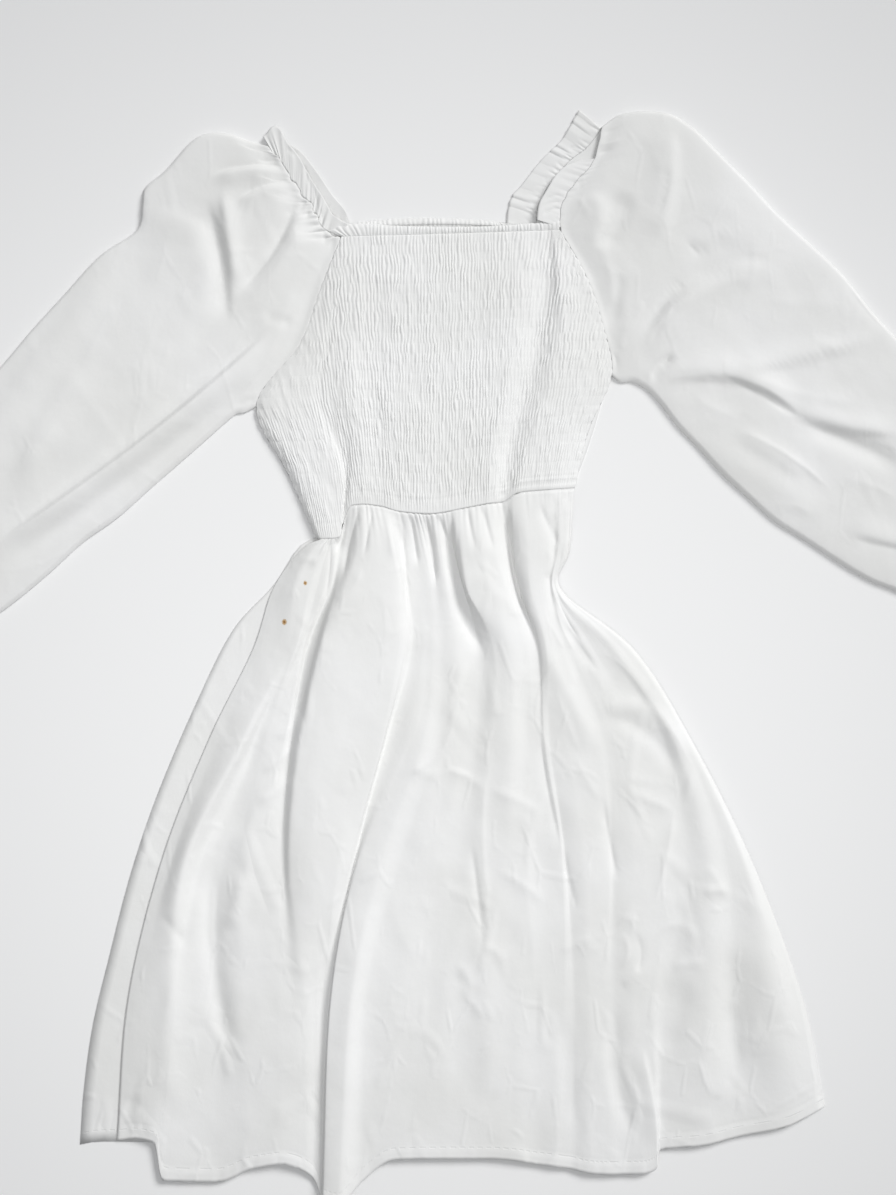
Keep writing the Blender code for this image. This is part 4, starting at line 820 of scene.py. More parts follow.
def smocked_front(sizes):
    """Return the front with its gathers, and the gather that each point of its top lies in."""
    base = bodice_front_points(SMOCKING_COLUMNS)
    outer = base.copy()
    x = base[:, :, 0]
    fall = SMOCKING_LEVEL - base[:, :, 1]
    lean = -0.5 * (x / SMOCKING_HALF) * np.abs(x / SMOCKING_HALF)
    widest = np.ptp(x, axis=1).max()
    across = (x - lean * np.where(fall > 0, fall, fall * 0.5)) * (sizes.smocking_gathers / widest)
    down = run_of(base[:, SMOCKING_COLUMNS // 2])[:, None]
    left_over = down[-1] - down
    band = down / (sizes.shirring_pitch / MM)
    share = np.linspace(0, 1, SMOCKING_COLUMNS + 1)[None, :]
    # The gathers fade at both sides, are pinched along each row and lie down at both seams.
    edge = np.clip(to_end(share) / 0.012 + 0.15, 0, 1)
    pinch = bell(band - np.round(band), 0.12) * (0.7 + 0.6 * unevenness(across * 0.15, band * 0.9, 23))
    free = 1 - (0.5 * bell(down, 1.5) + 0.85 * bell(left_over, 6.0))
    waistband = climb(13.0 - left_over, 2.0)
    rise = sizes.smocking_rise / MM * edge * (1 - 0.24 * pinch) * (1 - 0.15 * waistband)
    outer[:, :, 2] += free * (rise * smocking(across, band, 3) - 0.03 * pinch)
    outer[:, :, 2] += free * 0.4 * unevenness(across * 0.12, band * 0.5, 21)
    outer[:, :, 2] -= 0.3 * edge * bell(left_over - WAIST_SEWING, 0.9)
    outer[:, :, 0] += 0.16 * unevenness(across * 1.1, band * 1.3, 31) * edge
    # Between its rows, each side of the front bows out a little.
    scallop = np.clip(1 - share / 0.03, 0, 1) - np.clip(1 - (1 - share) / 0.03, 0, 1)
    outer[:, :, 0] -= scallop * 0.9 * (np.abs(np.sin(np.pi * band)) - 0.5)
    # The right end of the waist has two low ridges along it.
    for place in WAIST_RIDGES:
        outer[:, :, 2] += 0.6 * climb(share - 0.72, 0.05) * bell(left_over - place, 1.2)
    return outer, across[0]


def casing_points(top_edge, seam, section, reach, count, places=None):
    """Return a neck casing from its upper edge, over its rounded section, to its seam.

    Where the places of the smocking's gathers are given, it follows them and their height.
    """
    fractions = np.linspace(0, 1, count * CASING_POINTS + 1)
    top = trace(top_edge, fractions)
    line = resample(seam, fractions)
    upright = climb(to_end(fractions), reach)
    top_x = line[:, 0] * upright + top[:, 0] * (1 - upright)
    top = np.column_stack([top_x, np.interp(top_x, top[:, 0], top[:, 1])])
    if places is None:
        across = np.linspace(0, count, len(fractions))
        lift = 0.0
    else:
        across = np.interp(line[:, 0], seam[:, 0], places)
        lift = line[:, 2] - section[-1][1]
    line = line[:, :2] + (0.0, SEAM_GAP)
    rows = []
    for share, height in refine(section, [CASING_STEPS] * (len(section) - 1), False):
        wave = smocking(across, (share - 1) * 1.1, 3)
        bulge = math.sin(math.pi * max(share, 0.05)) ** 0.5 if share < 1 else 0.0
        place = top * (1 - share) + line * share
        place[:, 1] += 0.5 * (1 - share) * (wave - 0.5)
        rows.append(np.column_stack([place, height + share * lift + 0.8 * bulge * (wave - 0.4)]))
    return np.array(rows)


def skirt_front_points(sizes):
    """Return the skirt front with its folds, its pleats at the waist and its turned hem."""
    waist = outward(bodice_front_points(WAIST_COLUMNS)[-1], WAIST_GAP, -1)
    columns = []
    for places, hem_y, heights in SKIRT_LINES:
        top = np.interp(places[0], waist[:, 0], waist[:, 1])
        y = np.array((top,) + SKIRT_LEVELS + (hem_y,))
        y[1] = min(y[1], top - 2.0)
        columns.append(np.stack([places, y, heights], axis=1))
    across = refine(columns, [SKIRT_ACROSS] * (len(columns) - 1), True)
    seam = across[:, 0]
    seam[:, 1] = np.interp(seam[:, 0], waist[:, 0], waist[:, 1])
    seam[:, 2] = np.interp(seam[:, 0], waist[:, 0], waist[:, 2]) + WAIST_LIFT
    grid = refine(across.transpose(1, 0, 2), SKIRT_DOWN, False)
    grid[:, :, 2] = refine(across[:, :, 2].T, SKIRT_DOWN, True)
    grid = even_across(grid, SKIRT_COLUMNS, SKIRT_EVEN_ROW)

    x = grid[:, :, 0]
    y = grid[:, :, 1]
    below = y[0][None, :] - y
    width = np.minimum(x - x[:, :1], x[:, -1:] - x)
    near_side = climb(width, 5)
    # The folds die out at the sides and at the waist, where the pleats take over.
    extra = relief(x, y, SKIRT_FOLDS) + relief(x, y, SKIRT_CREASES, crisp=True)
    extra += 0.32 * unevenness(x / 26 + y / 60, y / 34, 51) + 0.16 * unevenness(x / 11 - y / 40, y / 15, 52)
    grid[:, :, 2] += climb(width, 12.0) * climb(below, 5.0) * extra
    pleat = run_of(grid[0])[None, :]
    for start, stop, reach, rise, drawn in WAIST_PLEATS:
        inside = climb(x - start, 6) * climb(stop - x, 6)
        length = reach * (0.75 + 0.55 * unevenness(pleat / 7, 0.0, 61))
        wave = gathers(pleat / 5.0, below / 70, 0.7, 62)
        standing = bell(below, np.maximum(length, 6.0)) * rise * climb(below, 2) * (wave - 0.5)
        drawn_in = drawn * bell(below, 2.0) * np.clip(0.9 - wave, 0, 1)
        grid[:, :, 2] += inside * (standing - drawn_in) * near_side
    # The hem is a turned layer with a line of stitches along its upper edge.
    hem = y - y[-1][None, :]
    depth = sizes.hem_depth / MM
    pucker = 0.25 * unevenness(x / 5.0, hem / 30, 71)
    grid[:, :, 2] += (0.45 + pucker) * climb(depth - hem, 0.9) * near_side
    grid[:, :, 2] -= 0.3 * bell(hem - depth, 0.9) * near_side
    return grid


def skirt_back_points():
    """Return the plan of the skirt back."""
    shares = np.linspace(0, 1, BACK_COLUMNS + 1)
    left, right, waist, hem = (
        trace(edge, shares) for edge in (SKIRT_BACK_LEFT, SKIRT_BACK_RIGHT, BACK_WAIST, SKIRT_BACK_HEM)
    )
    plan = patch(left, right, waist, hem, shares, shares)
    plan[:, :, 1] -= SEAM_GAP
    return plan


def sleeve_heights(sleeve, front, start, seam_heights, sections):
    """Return the heights of a sleeve's front: its crown, its seam, its folds and its gathers."""
    drawn = sleeve["drawn"]
    x = front[:, :, 0]
    y = front[:, :, 1]
    across = np.linspace(0, 1, len(start))
    crown = np.sqrt(np.sqrt(4 * across * (1 - across)))[None, :]
    puffed = eased(climb(sections, 0.06)[:, None])
    height = SLEEVE_EDGE_TOP + crown * (1.9 + 3.4 * puffed)
    joined = np.full(len(start), SLEEVE_NECK_TOP)
    joined[:SLEEVE_RAGLAN + 1] = seam_heights
    run = run_of(start)[None, :]
    out = run_of(front[:, len(start) * 3 // 4])[:, None]
    # The sleeve starts at the height of its seam and rises from there.
    near = bell(out, 7.0)
    height = height * (1 - near) + joined[None, :] * near
    extra = relief(x, y, sleeve["folds"]) + relief(x, y, sleeve["creases"], crisp=True)
    extra += 0.35 * unevenness(x / 30 + y / 50, y / 34 - x / 60, 81) + 0.16 * unevenness(x / 13, y / 12, 82)
    height = height + crown * climb(out, 6.0) * extra
    # Gathers stand along the neck edge and at the cuff, and the cloth is drawn down at both.
    gathered = (np.arange(len(start)) >= SLEEVE_RAGLAN)[None, :]
    edge = climb(to_end(across), 0.03)[None, :]
    length = 9.0 + 7.0 * unevenness(run / 7, 0.0, 83)
    pucker = (gathers(run / 6.4, out / 30, 0.9, 84) - 0.45) * (0.9 + 0.8 * unevenness(run / 8, 0.0, 87))
    height = height + gathered * edge * 1.5 * drawn * bell(out, length) * pucker
    to_cuff = out[-1] - out
    height = height + edge * 1.3 * bell(to_cuff, 24) * (gathers(run / 7, out / 60, 0.4, 85) - 0.5)
    height = height - (0.05 + 0.6 * drawn * gathered) * bell(out, 1.4) * edge
    height = height - 0.9 * bell(to_cuff, 16.0) * np.maximum(height - SLEEVE_CUFF_TOP, 0)
    return np.maximum(height, 1.8 + crown * 1.4)


def sleeve_rings(side):
    """Return the rings of a flattened sleeve, its front from below upwards and then its back."""
    sleeve = SLEEVES[side]
    column = sleeve["column"]
    sign = sleeve["sign"]
    armhole = sum(BODICE_DOWN[:ARMHOLE_LEVEL])
    front_edge = bodice_front_points(ARMHOLE_COLUMNS)[:armhole + 1, column][::-1]
    back_edge = bodice_back_points()[:BACK_ARMHOLE + 1, column][::-1]
    sections = np.linspace(0, 1, SLEEVE_SECTIONS + 1) ** 1.25
    raglan = resample(outward(front_edge, SEAM_GAP, sign), np.linspace(0, 1, SLEEVE_RAGLAN + 1))
    seam_heights = raglan[:, 2]
    raglan = raglan[:, :2]
    upper = trace(sleeve["top"], sections)
    lower = trace(np.vstack([raglan[:1], sleeve["under"][1:]]), sections)
    neck = trace(sleeve["neck"], np.linspace(0, 1, SLEEVE_NECK + 1))
    neck_run = run_of(neck)
    ends = climb(np.minimum(neck_run, neck_run[-1] - neck_run), 8.0)
    wander = outward(neck, 1.0, 1) - neck
    sway = 1.3 * math.sqrt(sleeve["drawn"]) * ends * unevenness(neck_run / 5.5, 0.0, 86)
    neck = neck + wander * sway[:, None]
    start = np.concatenate([raglan[:-1], neck])
    across = np.linspace(0, 1, len(start))
    cuff = lower[-1] * (1 - across[:, None]) + upper[-1] * across[:, None]
    front = patch(lower, upper, start, cuff, sections, across)
    height = sleeve_heights(sleeve, front, start, seam_heights, sections)

    half = np.linspace(0, 1, SLEEVE_BACK_NECK + 1)
    back_raglan = resample(outward(back_edge, SEAM_GAP, sign), half)
    back_start = np.concatenate([back_raglan[:-1, :2], trace(sleeve["back_neck"], half)])
    # The back starts where the front does under the arm, and comes to its own line from there.
    shift = lower[0] - back_start[0]
    back_start[:SLEEVE_BACK_NECK] += shift * np.clip(1 - half[:-1, None] / 0.7, 0, 1) ** 2
    back_across = np.linspace(0, 1, len(back_start))
    back_cuff = lower[-1] * (1 - back_across[:, None]) + upper[-1] * back_across[:, None]
    back = patch(lower, upper, back_start, back_cuff, sections, back_across)[:, ::-1]
    turn_under = [outward(lower, SLEEVE_EDGE_ROUND * bulge, sign) for bulge in SLEEVE_EDGE_BULGE]
    turn_top = [outward(upper, SLEEVE_EDGE_ROUND * bulge, -sign) for bulge in SLEEVE_EDGE_BULGE]
    rings = []
    for index in range(len(sections)):
        line = [np.append(turn[index], level) for turn, level in zip(turn_under, SLEEVE_EDGE_LEVELS)]
        line += [np.append(point, rise) for point, rise in zip(front[index], height[index])]
        line += [np.append(turn[index], level) for turn, level in zip(turn_top, SLEEVE_EDGE_LEVELS[::-1])]
        line += [np.append(point, REST) for point in back[index]]
        line.append(line[0])
        rings.append(line)
    return np.array(rings)


def cuff_points(end, before_end):
    """Return a cuff casing that goes on from the last ring of a sleeve."""
    axis = (end - before_end)[:-1, :2].mean(axis=0)
    axis /= np.linalg.norm(axis)
    centre = end[:-1, :2].mean(axis=0)
    above = end[:, 2] > SLEEVE_EDGE_LEVELS[-1]
    wave = gathers(np.arange(above.sum()) / 5.0, np.zeros(above.sum()), 0.2, 91)
    rows = []
    for share in np.linspace(0, 1, CUFF_RINGS):
        line = end.copy()
        line[:, :2] = centre + (end[:, :2] - centre) * (0.9 + 0.05 * (2 * share - 1) ** 2)
        line[:, :2] += axis * (SEAM_GAP + share * CUFF_DEPTH)
        line[above, 2] = SLEEVE_EDGE_TOP + 0.4 * math.sin(math.pi * share) + 0.9 * wave
        rows.append(line)
    return np.array(rows)


def frill_points(neck, table, start_height, sign, pitch, depth, blocks, seed):
    """Return a frill from the edge that it is gathered on to, out to its rippled free edge.

    Blocks turns soft waves into flat-topped ones with narrow creases between them.
    """
    edge = refine(table, [FRILL_STEPS] * (len(table) - 1), False)
    shares = np.linspace(0, 1, len(edge))
    edge = resample(edge, shares)
    gather = resample(outward(neck, FRILL_GAP, sign), shares)
    gather[:, 2] = np.maximum(gather[:, 2], start_height)
    run = run_of(edge)
    reach = np.linalg.norm((edge - gather)[:, :2], axis=1)
    turn = run / pitch + 0.4 * unevenness(run / pitch * 0.8, 0.0, seed)
    soft = np.sin(2 * np.pi * turn)
    crease = np.abs(np.sin(np.pi * turn)) ** 0.45 * 2 - 1
    wave = soft * (1 - blocks) + crease * blocks
    size = np.clip(reach / 10.0, 0.3, 1.2) * (0.75 + 0.5 * unevenness(run / pitch * 0.9, 0.0, seed + 1))
    away = (edge - gather)[:, :2] / np.maximum(reach, 0.1)[:, None]
    rows = []
    for part in np.linspace(0, 1, FRILL_ROWS):
        line = gather * (1 - part) + edge * part
        lift = math.sin(math.pi / 2 * min(1.0, part * 1.3))
        line[:, 2] += depth * size * lift * wave
        close = gathers(run / 6.0, np.full(len(run), part), 0.8, seed + 2) - 0.5
        line[:, 2] += 1.3 * depth * bell(part - 0.15, 0.2) * close
        line[:, 2] += relief(line[:, 0], line[:, 1], FRILL_CREASES, crisp=True)
        line[:, :2] += away * (part**2 * size * depth * 0.6 * wave)[:, None]
        rows.append(line)
    rows = np.array(rows)
    rows[:, :, 2] = np.maximum(rows[:, :, 2], FRILL_LOWEST)
    return rows


def lay_cloth(form, points):
    """Add a grid of cloth to a form, with its points in place and its threads' run on them."""
    rows, columns = points.shape[:2]
    layer = form.verts.layers.float_vector.get("cloth") or form.verts.layers.float_vector.new("cloth")
    made = bmesh.ops.create_grid(form, x_segments=columns - 1, y_segments=rows - 1, size=1)["verts"]
    across = run_of(points[rows // 2])
    across -= across[-1] / 2
    down = run_of(points[:, columns // 2])
    for vert in made:
        row = round((1 - vert.co.y) / 2 * (rows - 1))
        column = round((vert.co.x + 1) / 2 * (columns - 1))
        vert.co = points[row, column] * MM
        vert[layer] = (across[column] * MM, down[row] * MM, (down[-1] - down[row]) * MM)


def finish_piece(name, form, context):
    """Turn a form into a smooth object of the scene."""
    mesh = bpy.data.meshes.new(name)
    form.to_mesh(mesh)
    form.free()
    mesh.shade_smooth()
    piece = bpy.data.objects.new(name, mesh)
    context.scene.collection.objects.link(piece)
    return piece


def lined_panel(name, outer, context, wall, step):
    """Make a front panel, its gathers on its outside over a smoother inside that clears the back panel."""
    rest = BACK_TOP_SIDE + REST
    form = bmesh.new()
    outer = outer.copy()
    outer[:, :, 2] = np.maximum(outer[:, :, 2], rest + wall)
    lay_cloth(form, outer)
    rows, columns = outer.shape[:2]
    low_rows = np.linspace(0, rows - 1, (rows - 1) // step + 1).round().astype(int)
    low_columns = np.linspace(0, columns - 1, (columns - 1) // step + 1).round().astype(int)
    inner = outer[np.ix_(low_rows, low_columns)].copy()
    inner[:, :, 2] = np.maximum(inner[:, :, 2] - wall, rest)
    lay_cloth(form, inner)
    bmesh.ops.bridge_loops(form, edges=[edge for edge in form.edges if edge.is_boundary])
    bmesh.ops.recalc_face_normals(form, faces=form.faces)
    return finish_piece(name, form, context)


def single_panel(name, points, context, wall, tube=False):
    """Make a panel, or a tube of cloth, whose wall is thickened inwards."""
    form = bmesh.new()
    lay_cloth(form, points)
    if tube:
        bmesh.ops.remove_doubles(form, verts=form.verts, dist=SAME_POINT * MM)
    bmesh.ops.recalc_face_normals(form, faces=form.faces)
    upper = [face for face in form.faces if not tube or face.calc_center_median().z > TUBE_MIDDLE * MM]
    if sum(face.normal.z * face.calc_area() for face in upper) < 0:
        bmesh.ops.reverse_faces(form, faces=form.faces)
    piece = finish_piece(name, form, context)
    solid = piece.modifiers.new("Wall", "SOLIDIFY")
    solid.thickness = wall * MM
    solid.offset = -1.0
    return piece


def wear(piece, node, material):
    """Put a finished piece in its place of the dress with its cloth, and hide the part that it stands for.
    """
    piece.data.materials.append(material)
    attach(piece, BODY)
    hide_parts(node)


class Socket:
    """A socket of a material's nodes that can be used in sums."""

    def __init__(self, cloth, socket):
        self.cloth = cloth
        self.socket = socket

    def sum_with(self, operation, *values):
        """Add a Math node."""
        return self.cloth.add("ShaderNodeMath", {"operation": operation}, dict(enumerate(values)))

    def __add__(self, other):
        return self.sum_with("ADD", self, other)

    __radd__ = __add__

    def __mul__(self, other):
        return self.sum_with("MULTIPLY", self, other)

    __rmul__ = __mul__

    def __sub__(self, other):
        return self.sum_with("SUBTRACT", self, other)

    def __rsub__(self, other):
        return self.sum_with("SUBTRACT", other, self)

    def sine(self):
        """Return its sine."""
        return self.sum_with("SINE", self)

    def positive(self):
        """Return it without its sign."""
        return self.sum_with("ABSOLUTE", self)

    def wrapped(self, pitch):
        """Return how far it is from the nearest whole number of pitches."""
        return self.sum_with("PINGPONG", self, pitch / 2)


class Cloth:
    """The nodes of one cloth material."""

    def __init__(self, name, **plain):
        self.material = bpy.data.materials.new(name)
        self.material.use_nodes = True
        self.tree = self.material.node_tree
        self.shader = self.tree.nodes["Principled BSDF"]
        for socket, value in plain.items():
            self.shader.inputs[socket.replace("_", " ")].default_value = value

    def add(self, kind, settings, inputs, output=0):
        """Add a node with its settings and its sockets' values or links."""
        node = self.tree.nodes.new(kind)
        for setting, value in settings.items():
            setattr(node, setting, value)
        for key, value in inputs.items():
            if isinstance(value, Socket):
                self.tree.links.new(value.socket, node.inputs[key])
            else:
                node.inputs[key].default_value = value
        return Socket(self, node.outputs[output])

    def feed(self, socket, value):
        """Link a value to a socket of the shader."""
        self.tree.links.new(value.socket, self.shader.inputs[socket])

    def noise(self, place, scale, detail, roughness=0.5):
        """Return the value of a noise at a place."""
        inputs = {"Vector": place, "Scale": scale, "Detail": detail, "Roughness": roughness}
        return self.add("ShaderNodeTexNoise", {"noise_dimensions": "3D"}, inputs, "Fac")

    def blend(self, share, first, second):
        """Return a colour between two."""
        inputs = {MIX_SHARE: share, MIX_FIRST: first, MIX_SECOND: second}
        return self.add("ShaderNodeMix", {"data_type": "RGBA"}, inputs, MIX_RESULT)

    def arrow(self, operation, *values, output=0):
        """Return what a Vector Math node makes of its values."""
        return self.add("ShaderNodeVectorMath", {"operation": operation}, dict(enumerate(values)), output)

    def smooth_step(self, value, low, high):
        """Return 0 below low, 1 above high and a smooth climb between."""
        settings = {"interpolation_type": "SMOOTHSTEP"}
        return self.add("ShaderNodeMapRange", settings, {"Value": value, "From Min": low, "From Max": high})

    def within(self, value, full, gone):
        """Return 1 up to one distance, 0 beyond another and a smooth fall between."""
        return 1.0 - self.smooth_step(value, full, gone)


def add_creases(cloth, body, height, rise):
    """Return a height with small creases that show in patches, along the edges of uneven cells."""
    bent = cloth.add("ShaderNodeMapping", {}, {"Vector": body, **CREASE_RUN})
    for scale in CREASE_CELLS:
        cell = {"Vector": bent, "Scale": scale, "Randomness": 1.0}
        away = cloth.add("ShaderNodeTexVoronoi", {"feature": "DISTANCE_TO_EDGE"}, cell, "Distance")
        shown = cloth.smooth_step(cloth.noise(body, scale * 1.1, 2.0), *CREASE_SHOWN)
        height = height + shown * cloth.within(away, 0.0, CREASE_WIDTH) * rise
        rise = rise / 2
    return height


def add_stain(cloth, body, colour, colours, x, y, radius):
    """Return a colour with one small stain, its rim paler than its middle."""
    place = cloth.arrow("SUBTRACT", body, (x * MM, y * MM, 0.0))
    away = cloth.arrow("LENGTH", cloth.arrow("MULTIPLY", place, STAIN_SQUASH), output="Value")
    away = away + STAIN_RAGGED * cloth.noise(body, STAIN_SPECKS, 2.0) - STAIN_RAGGED / 2
    rim = cloth.within(away, *(radius * share * MM for share in STAIN_RIM))
    middle = cloth.within(away, STAIN_MIDDLE_START, radius * STAIN_MIDDLE * MM)
    colour = cloth.blend(rim * STAIN_STRENGTH, colour, tuple(colours.stain))
    return cloth.blend(middle * STAIN_STRENGTH, colour, tuple(colours.stain_core))


def cotton(name, sizes, colours, crinkle, creases=0.0, shirring=None, hem=None, stains=()):
    """Return a plain woven cotton with its slubs, small creases, stitching and stains."""
    shade = tuple(colours.cotton_shade)
    cloth = Cloth(name, Metallic=0.0, Sheen_Weight=0.12, Sheen_Roughness=0.5, Specular_IOR_Level=0.28)
    body = cloth.add("ShaderNodeTexCoord", {}, {}, "Object")
    own = cloth.add("ShaderNodeAttribute", {"attribute_name": "cloth"}, {}, "Vector")
    split = cloth.add("ShaderNodeSeparateXYZ", {}, {"Vector": own}).socket.node
    across, down, up = (Socket(cloth, output) for output in split.outputs)

    thread = math.pi / sizes.thread_pitch
    weave = (across * thread).sine() * (down * thread).sine()
    slub = cloth.noise(cloth.add("ShaderNodeMapping", {}, {"Vector": own, "Scale": SLUBS}), 1.0, 2.0)
    soft = cloth.noise(body, CRINKLES, 3.0)
    small = cloth.noise(body, FINE_CRINKLES, 2.0, 0.6)
    height = weave * WEAVE_RISE + slub * SLUB_RISE
    height = height + soft * (CRINKLE_RISE * crinkle) + small * (FINE_CRINKLE_RISE * crinkle)
    if creases:
        height = add_creases(cloth, body, height, creases)

    tone = cloth.smooth_step(cloth.noise(body, TONE_PATCHES, 3.0), *TONE_RANGE)
    colour = cloth.blend(tone, tuple(colours.cotton), shade)
    colour = cloth.blend(slub * SLUB_TONE, colour, shade)
    if shirring:
        thread_line = cloth.within(down.wrapped(shirring), *SHIRRING_LINE)
        height = height - thread_line * SHIRRING_SINK
        colour = cloth.blend(thread_line * SHIRRING_TONE, colour, shade)
    if hem:
        line = cloth.within((up - hem).positive(), *STITCH_LINE)
        stitch = line * cloth.smooth_step((across * (math.pi / STITCH_LENGTH)).sine(), *STITCH_DASH)
        height = height - stitch * STITCH_SINK
        colour = cloth.blend(stitch * STITCH_TONE, colour, shade)
    for stain in stains:
        colour = add_stain(cloth, body, colour, colours, *stain)

    cloth.feed("Base Color", colour)
    cloth.feed("Roughness", ROUGHNESS + ROUGHNESS_CHANGE * small)
    bump = cloth.add("ShaderNodeBump", {}, {"Strength": 1.0, "Distance": 1.0, "Height": height})
    cloth.feed("Normal", bump)
    cloth.material.diffuse_color = tuple(colours.cotton)
    return cloth.material


def woven(name, context, crinkle, **more):
    """Return the cotton of one part of the dress, made the first time that it is asked for."""
    made = bpy.data.materials.get(name)
    return made or cotton(name, context.scene.dress_sizes, context.scene.dress_colours, crinkle, **more)


LENGTH = {"unit": "LENGTH", "precision": 5}
COLOUR = {"subtype": "COLOR", "size": 4, "min": 0, "max": 1}


class DressSizes(bpy.types.PropertyGroup):
    """Sizes that a maker of the dress would change."""

    wall: bpy.props.FloatProperty(
        name="Cloth", description="Thickness of the cotton", default=0.0007, **LENGTH
    )
    thread_pitch: bpy.props.FloatProperty(
        name="Thread", description="Distance between threads", default=0.00045, **LENGTH
    )
    smocking_gathers: bpy.props.IntProperty(
        name="Smocking gathers", description="Gathers across the bodice front", default=116, min=40, max=140
    )
    smocking_rise: bpy.props.FloatProperty(
        name="Smocking rise", description="How far each gather stands", default=0.00105, **LENGTH
    )
    shirring_pitch: bpy.props.FloatProperty(
        name="Shirring", description="Distance between rows of elastic thread", default=0.0085, **LENGTH
    )
    hem_depth: bpy.props.FloatProperty(
        name="Hem", description="Depth of the turned hem", default=0.011, **LENGTH
    )
    neck_gathers: bpy.props.IntProperty(
        name="Neck gathers", description="Gathers across the front neck casing", default=78, min=20, max=100
    )


class DressColours(bpy.types.PropertyGroup):
    """Colours of the cloth, the stains and the setting."""

    cotton: bpy.props.FloatVectorProperty(
        name="Cotton", description="Cloth", default=(0.835, 0.835, 0.83, 1.0), **COLOUR
    )
    cotton_shade: bpy.props.FloatVectorProperty(
        name="Cotton shade", description="Greyer threads", default=(0.79, 0.79, 0.775, 1.0), **COLOUR
    )
    stain: bpy.props.FloatVectorProperty(
        name="Stain", description="Edge of a stain", default=(0.5, 0.3, 0.1, 1.0), **COLOUR
    )
    stain_core: bpy.props.FloatVectorProperty(
        name="Stain middle", description="Middle of a stain", default=(0.22, 0.09, 0.02, 1.0), **COLOUR
    )
    floor: bpy.props.FloatVectorProperty(
        name="Floor", description="Surface below", default=(0.87, 0.87, 0.868, 1.0), **COLOUR
    )
    floor_grain: bpy.props.FloatVectorProperty(
        name="Floor grain", description="Darker specks below", default=(0.85, 0.85, 0.848, 1.0), **COLOUR
    )


class DRESS_OT_bodice(bpy.types.Operator):
    """Make the smocked bodice front and the bodice back"""

    bl_idname = "dress.bodice"
    bl_label = "Bodice"

    def execute(self, context):
        sizes = context.scene.dress_sizes
        smocked = woven("shirred_lawn", context, BODICE_CRINKLE, shirring=sizes.shirring_pitch)
        outer = smocked_front(sizes)[0]
        front = lined_panel("smocked_bodice_front", outer, context, sizes.wall / MM, BODICE_LINING_STEP)
        wear(
            front, "bodice_front", smocked,
        )
        plan = laid_flat(bodice_back_points())
        back = single_panel("smocked_bodice_back", plan, context, BACK_TOP_SIDE - REST)
        wear(
            back, "bodice_back", smocked,
        )
        return {"FINISHED"}


class DRESS_OT_neck(bpy.types.Operator):
    """Make the gathered casings along the front and back of the neck"""

    bl_idname = "dress.neck"
    bl_label = "Neck casings"

    def execute(self, context):
        sizes = context.scene.dress_sizes
        cloth = woven("casing_lawn", context, CASING_CRINKLE)
        wall = sizes.wall / MM
        count = sizes.neck_gathers
        smocked, places = smocked_front(sizes)
        points = casing_points(NECK_FRONT_TOP, smocked[0], ROUND_CASING, 0.12, count, places)
        piece = single_panel("front_neck_casing", points, context, wall)
        wear(
            piece, "neck_casing_front", cloth,
        )
        points = casing_points(NECK_BACK_TOP, bodice_back_points()[0], FLAT_CASING, 0.25, count // 2)
        piece = single_panel("back_neck_casing", points, context, wall)
        wear(
            piece, "neck_casing_back", cloth,
        )
        return {"FINISHED"}


class DRESS_OT_skirt(bpy.types.Operator):
    """Make the gathered skirt front and the skirt back below it"""

    bl_idname = "dress.skirt"
    bl_label = "Skirt"

    def execute(self, context):
        sizes = context.scene.dress_sizes
        stitching = sizes.hem_depth - HEM_STITCH_INSET
        cloth = woven("skirt_lawn", context, 1.0, creases=SKIRT_CREASE_RISE, hem=stitching, stains=STAINS)
        points = skirt_front_points(sizes)
        wall = sizes.wall / MM * SKIRT_WALL_SHARE
        front = lined_panel("gathered_skirt_front", points, context, wall, SKIRT_LINING_STEP)
        wear(
            front, "skirt_front", cloth,
        )
        plan = laid_flat(skirt_back_points())
        back = single_panel("gathered_skirt_back", plan, context, BACK_TOP_SIDE - REST)
        wear(
            back, "skirt_back", cloth,
        )
        return {"FINISHED"}


class DRESS_OT_sleeves(bpy.types.Operator):
    """Make the two balloon sleeves and the gathered casings at their cuffs"""

    bl_idname = "dress.sleeves"
    bl_label = "Sleeves and cuffs"

    def execute(self, context):
        wall = context.scene.dress_sizes.wall / MM
        cloth = woven("sleeve_lawn", context, 1.0, creases=SLEEVE_CREASE_RISE)
        cuff_cloth = woven("casing_lawn", context, CASING_CRINKLE)
        for side in SLEEVES:
            rings = sleeve_rings(side)
            sleeve = single_panel("balloon_sleeve_" + side, rings, context, wall, tube=True)
            wear(
                sleeve, "sleeve_" + side, cloth,
            )
            points = cuff_points(rings[-1], rings[-2])
            cuff = single_panel("cuff_casing_" + side, points, context, wall, tube=True)
            wear(
                cuff, "cuff_" + side, cuff_cloth,
            )
        return {"FINISHED"}


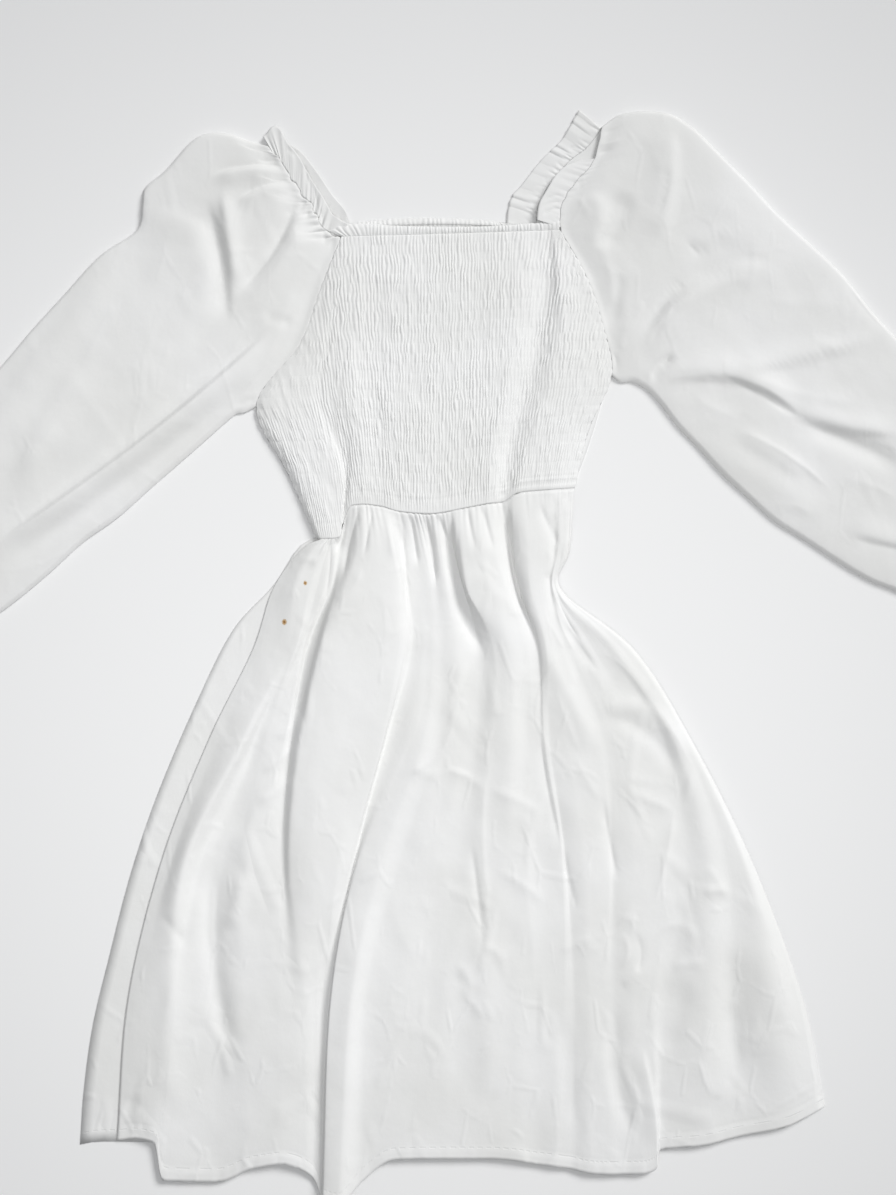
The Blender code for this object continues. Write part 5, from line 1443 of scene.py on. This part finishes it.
class DRESS_OT_frills(bpy.types.Operator):
    """Make the frills that stand along the gathered neck edges of the sleeves"""

    bl_idname = "dress.frills"
    bl_label = "Neck frills"

    def execute(self, context):
        wall = context.scene.dress_sizes.wall / MM
        cloth = woven("frill_lawn", context, FRILL_CRINKLE)
        turns = len(SLEEVE_EDGE_LEVELS)
        corner = turns + SLEEVE_RAGLAN
        tip = corner + SLEEVE_NECK
        back = tip + 1 + turns
        for side in SLEEVES:
            ring = sleeve_rings(side)[0]
            necks = {"front": ring[corner:tip + 1], "back": ring[back:back + SLEEVE_BACK_NECK + 1][::-1]}
            for place, whole_neck in necks.items():
                edge, span, start_height, pitch, depth, blocks, cut, seed = FRILLS[side, place]
                neck = resample(whole_neck, np.linspace(*span, FRILL_START_POINTS))
                sign = -SLEEVES[side]["sign"]
                points = frill_points(neck, edge, start_height, sign, pitch, depth, blocks, seed)
                name = "neck_frill_" + side + "_" + place
                piece = single_panel(name + "_cloth", points, context, wall)
                wear(
                    piece, name, cloth,
                )
        return {"FINISHED"}


class DRESS_OT_stage(bpy.types.Operator):
    """Make the pale floor, the soft lights and the camera above"""

    bl_idname = "dress.stage"
    bl_label = "Floor, lights and camera"

    def execute(self, context):
        scene = context.scene
        colours = scene.dress_colours
        form = bmesh.new()
        bmesh.ops.create_grid(form, x_segments=8, y_segments=8, size=FLOOR_HALF)
        floor = finish_piece("floor", form, context)
        paper = Cloth("floor_paper", Specular_IOR_Level=0.2)
        place = paper.add("ShaderNodeTexCoord", {}, {}, "Object")
        grain = paper.noise(place, FLOOR_GRAIN, 3.0)
        colour = paper.blend(grain * 0.25, tuple(colours.floor), tuple(colours.floor_grain))
        paper.feed("Base Color", colour)
        paper.feed("Roughness", 0.9 + 0.05 * grain)
        floor.data.materials.append(paper.material)

        for name, kind, place, settings in LIGHTS:
            light = bpy.data.lights.new(name, kind)
            for setting, value in settings.items():
                setattr(light, setting, value)
            lamp = bpy.data.objects.new(name, light)
            lamp.location = place
            lamp.rotation_euler = (-lamp.location).to_track_quat("-Z", "Y").to_euler()
            scene.collection.objects.link(lamp)

        world = bpy.data.worlds.new("studio")
        world.use_nodes = True
        background = world.node_tree.nodes["Background"]
        background.inputs["Color"].default_value = STUDIO_COLOUR
        background.inputs["Strength"].default_value = STUDIO_STRENGTH
        scene.world = world
        scene.view_settings.view_transform = "Standard"

        camera = bpy.data.cameras.new("camera")
        camera.sensor_fit = "VERTICAL"
        camera.sensor_height = SENSOR
        camera.lens = SENSOR * CAMERA_HEIGHT / (VIEW_ROWS * PIXEL * MM)
        camera.clip_end = CAMERA_REACH
        holder = bpy.data.objects.new("camera", camera)
        forward = (ORIGIN_ROW - VIEW_MIDDLE_ROW) * PIXEL * MM
        holder.location = (0.0, forward, CAMERA_HEIGHT + CLOTH_LEVEL)
        scene.collection.objects.link(holder)
        scene.camera = holder
        return {"FINISHED"}


STEPS = (
    DRESS_OT_stage,
    DRESS_OT_bodice,
    DRESS_OT_neck,
    DRESS_OT_skirt,
    DRESS_OT_sleeves,
    DRESS_OT_frills,
)


class DRESS_PT_sewing(bpy.types.Panel):
    """The steps of the dress and its sizes"""

    bl_label = "Peasant Dress"
    bl_space_type = "VIEW_3D"
    bl_region_type = "UI"
    bl_category = "Dress"

    def draw(self, context):
        for group in (context.scene.dress_sizes, context.scene.dress_colours):
            for name in group.__annotations__:
                self.layout.prop(group, name)
        for step in STEPS:
            self.layout.operator(step.bl_idname)


CLASSES = (DressSizes, DressColours) + STEPS + (DRESS_PT_sewing,)


def register():
    """Add the steps, the sizes and the panel."""
    for item in CLASSES:
        bpy.utils.register_class(item)
    bpy.types.Scene.dress_sizes = bpy.props.PointerProperty(type=DressSizes)
    bpy.types.Scene.dress_colours = bpy.props.PointerProperty(type=DressColours)


def unregister():
    """Take them away again."""
    del bpy.types.Scene.dress_colours
    del bpy.types.Scene.dress_sizes
    for item in reversed(CLASSES):
        bpy.utils.unregister_class(item)


def main():
    """Make the dress and its setting."""
    register()
    bpy.ops.dress.stage()
    bpy.ops.dress.bodice()
    bpy.ops.dress.neck()
    bpy.ops.dress.skirt()
    bpy.ops.dress.sleeves()
    bpy.ops.dress.frills()


if __name__ == "__main__":
    main()
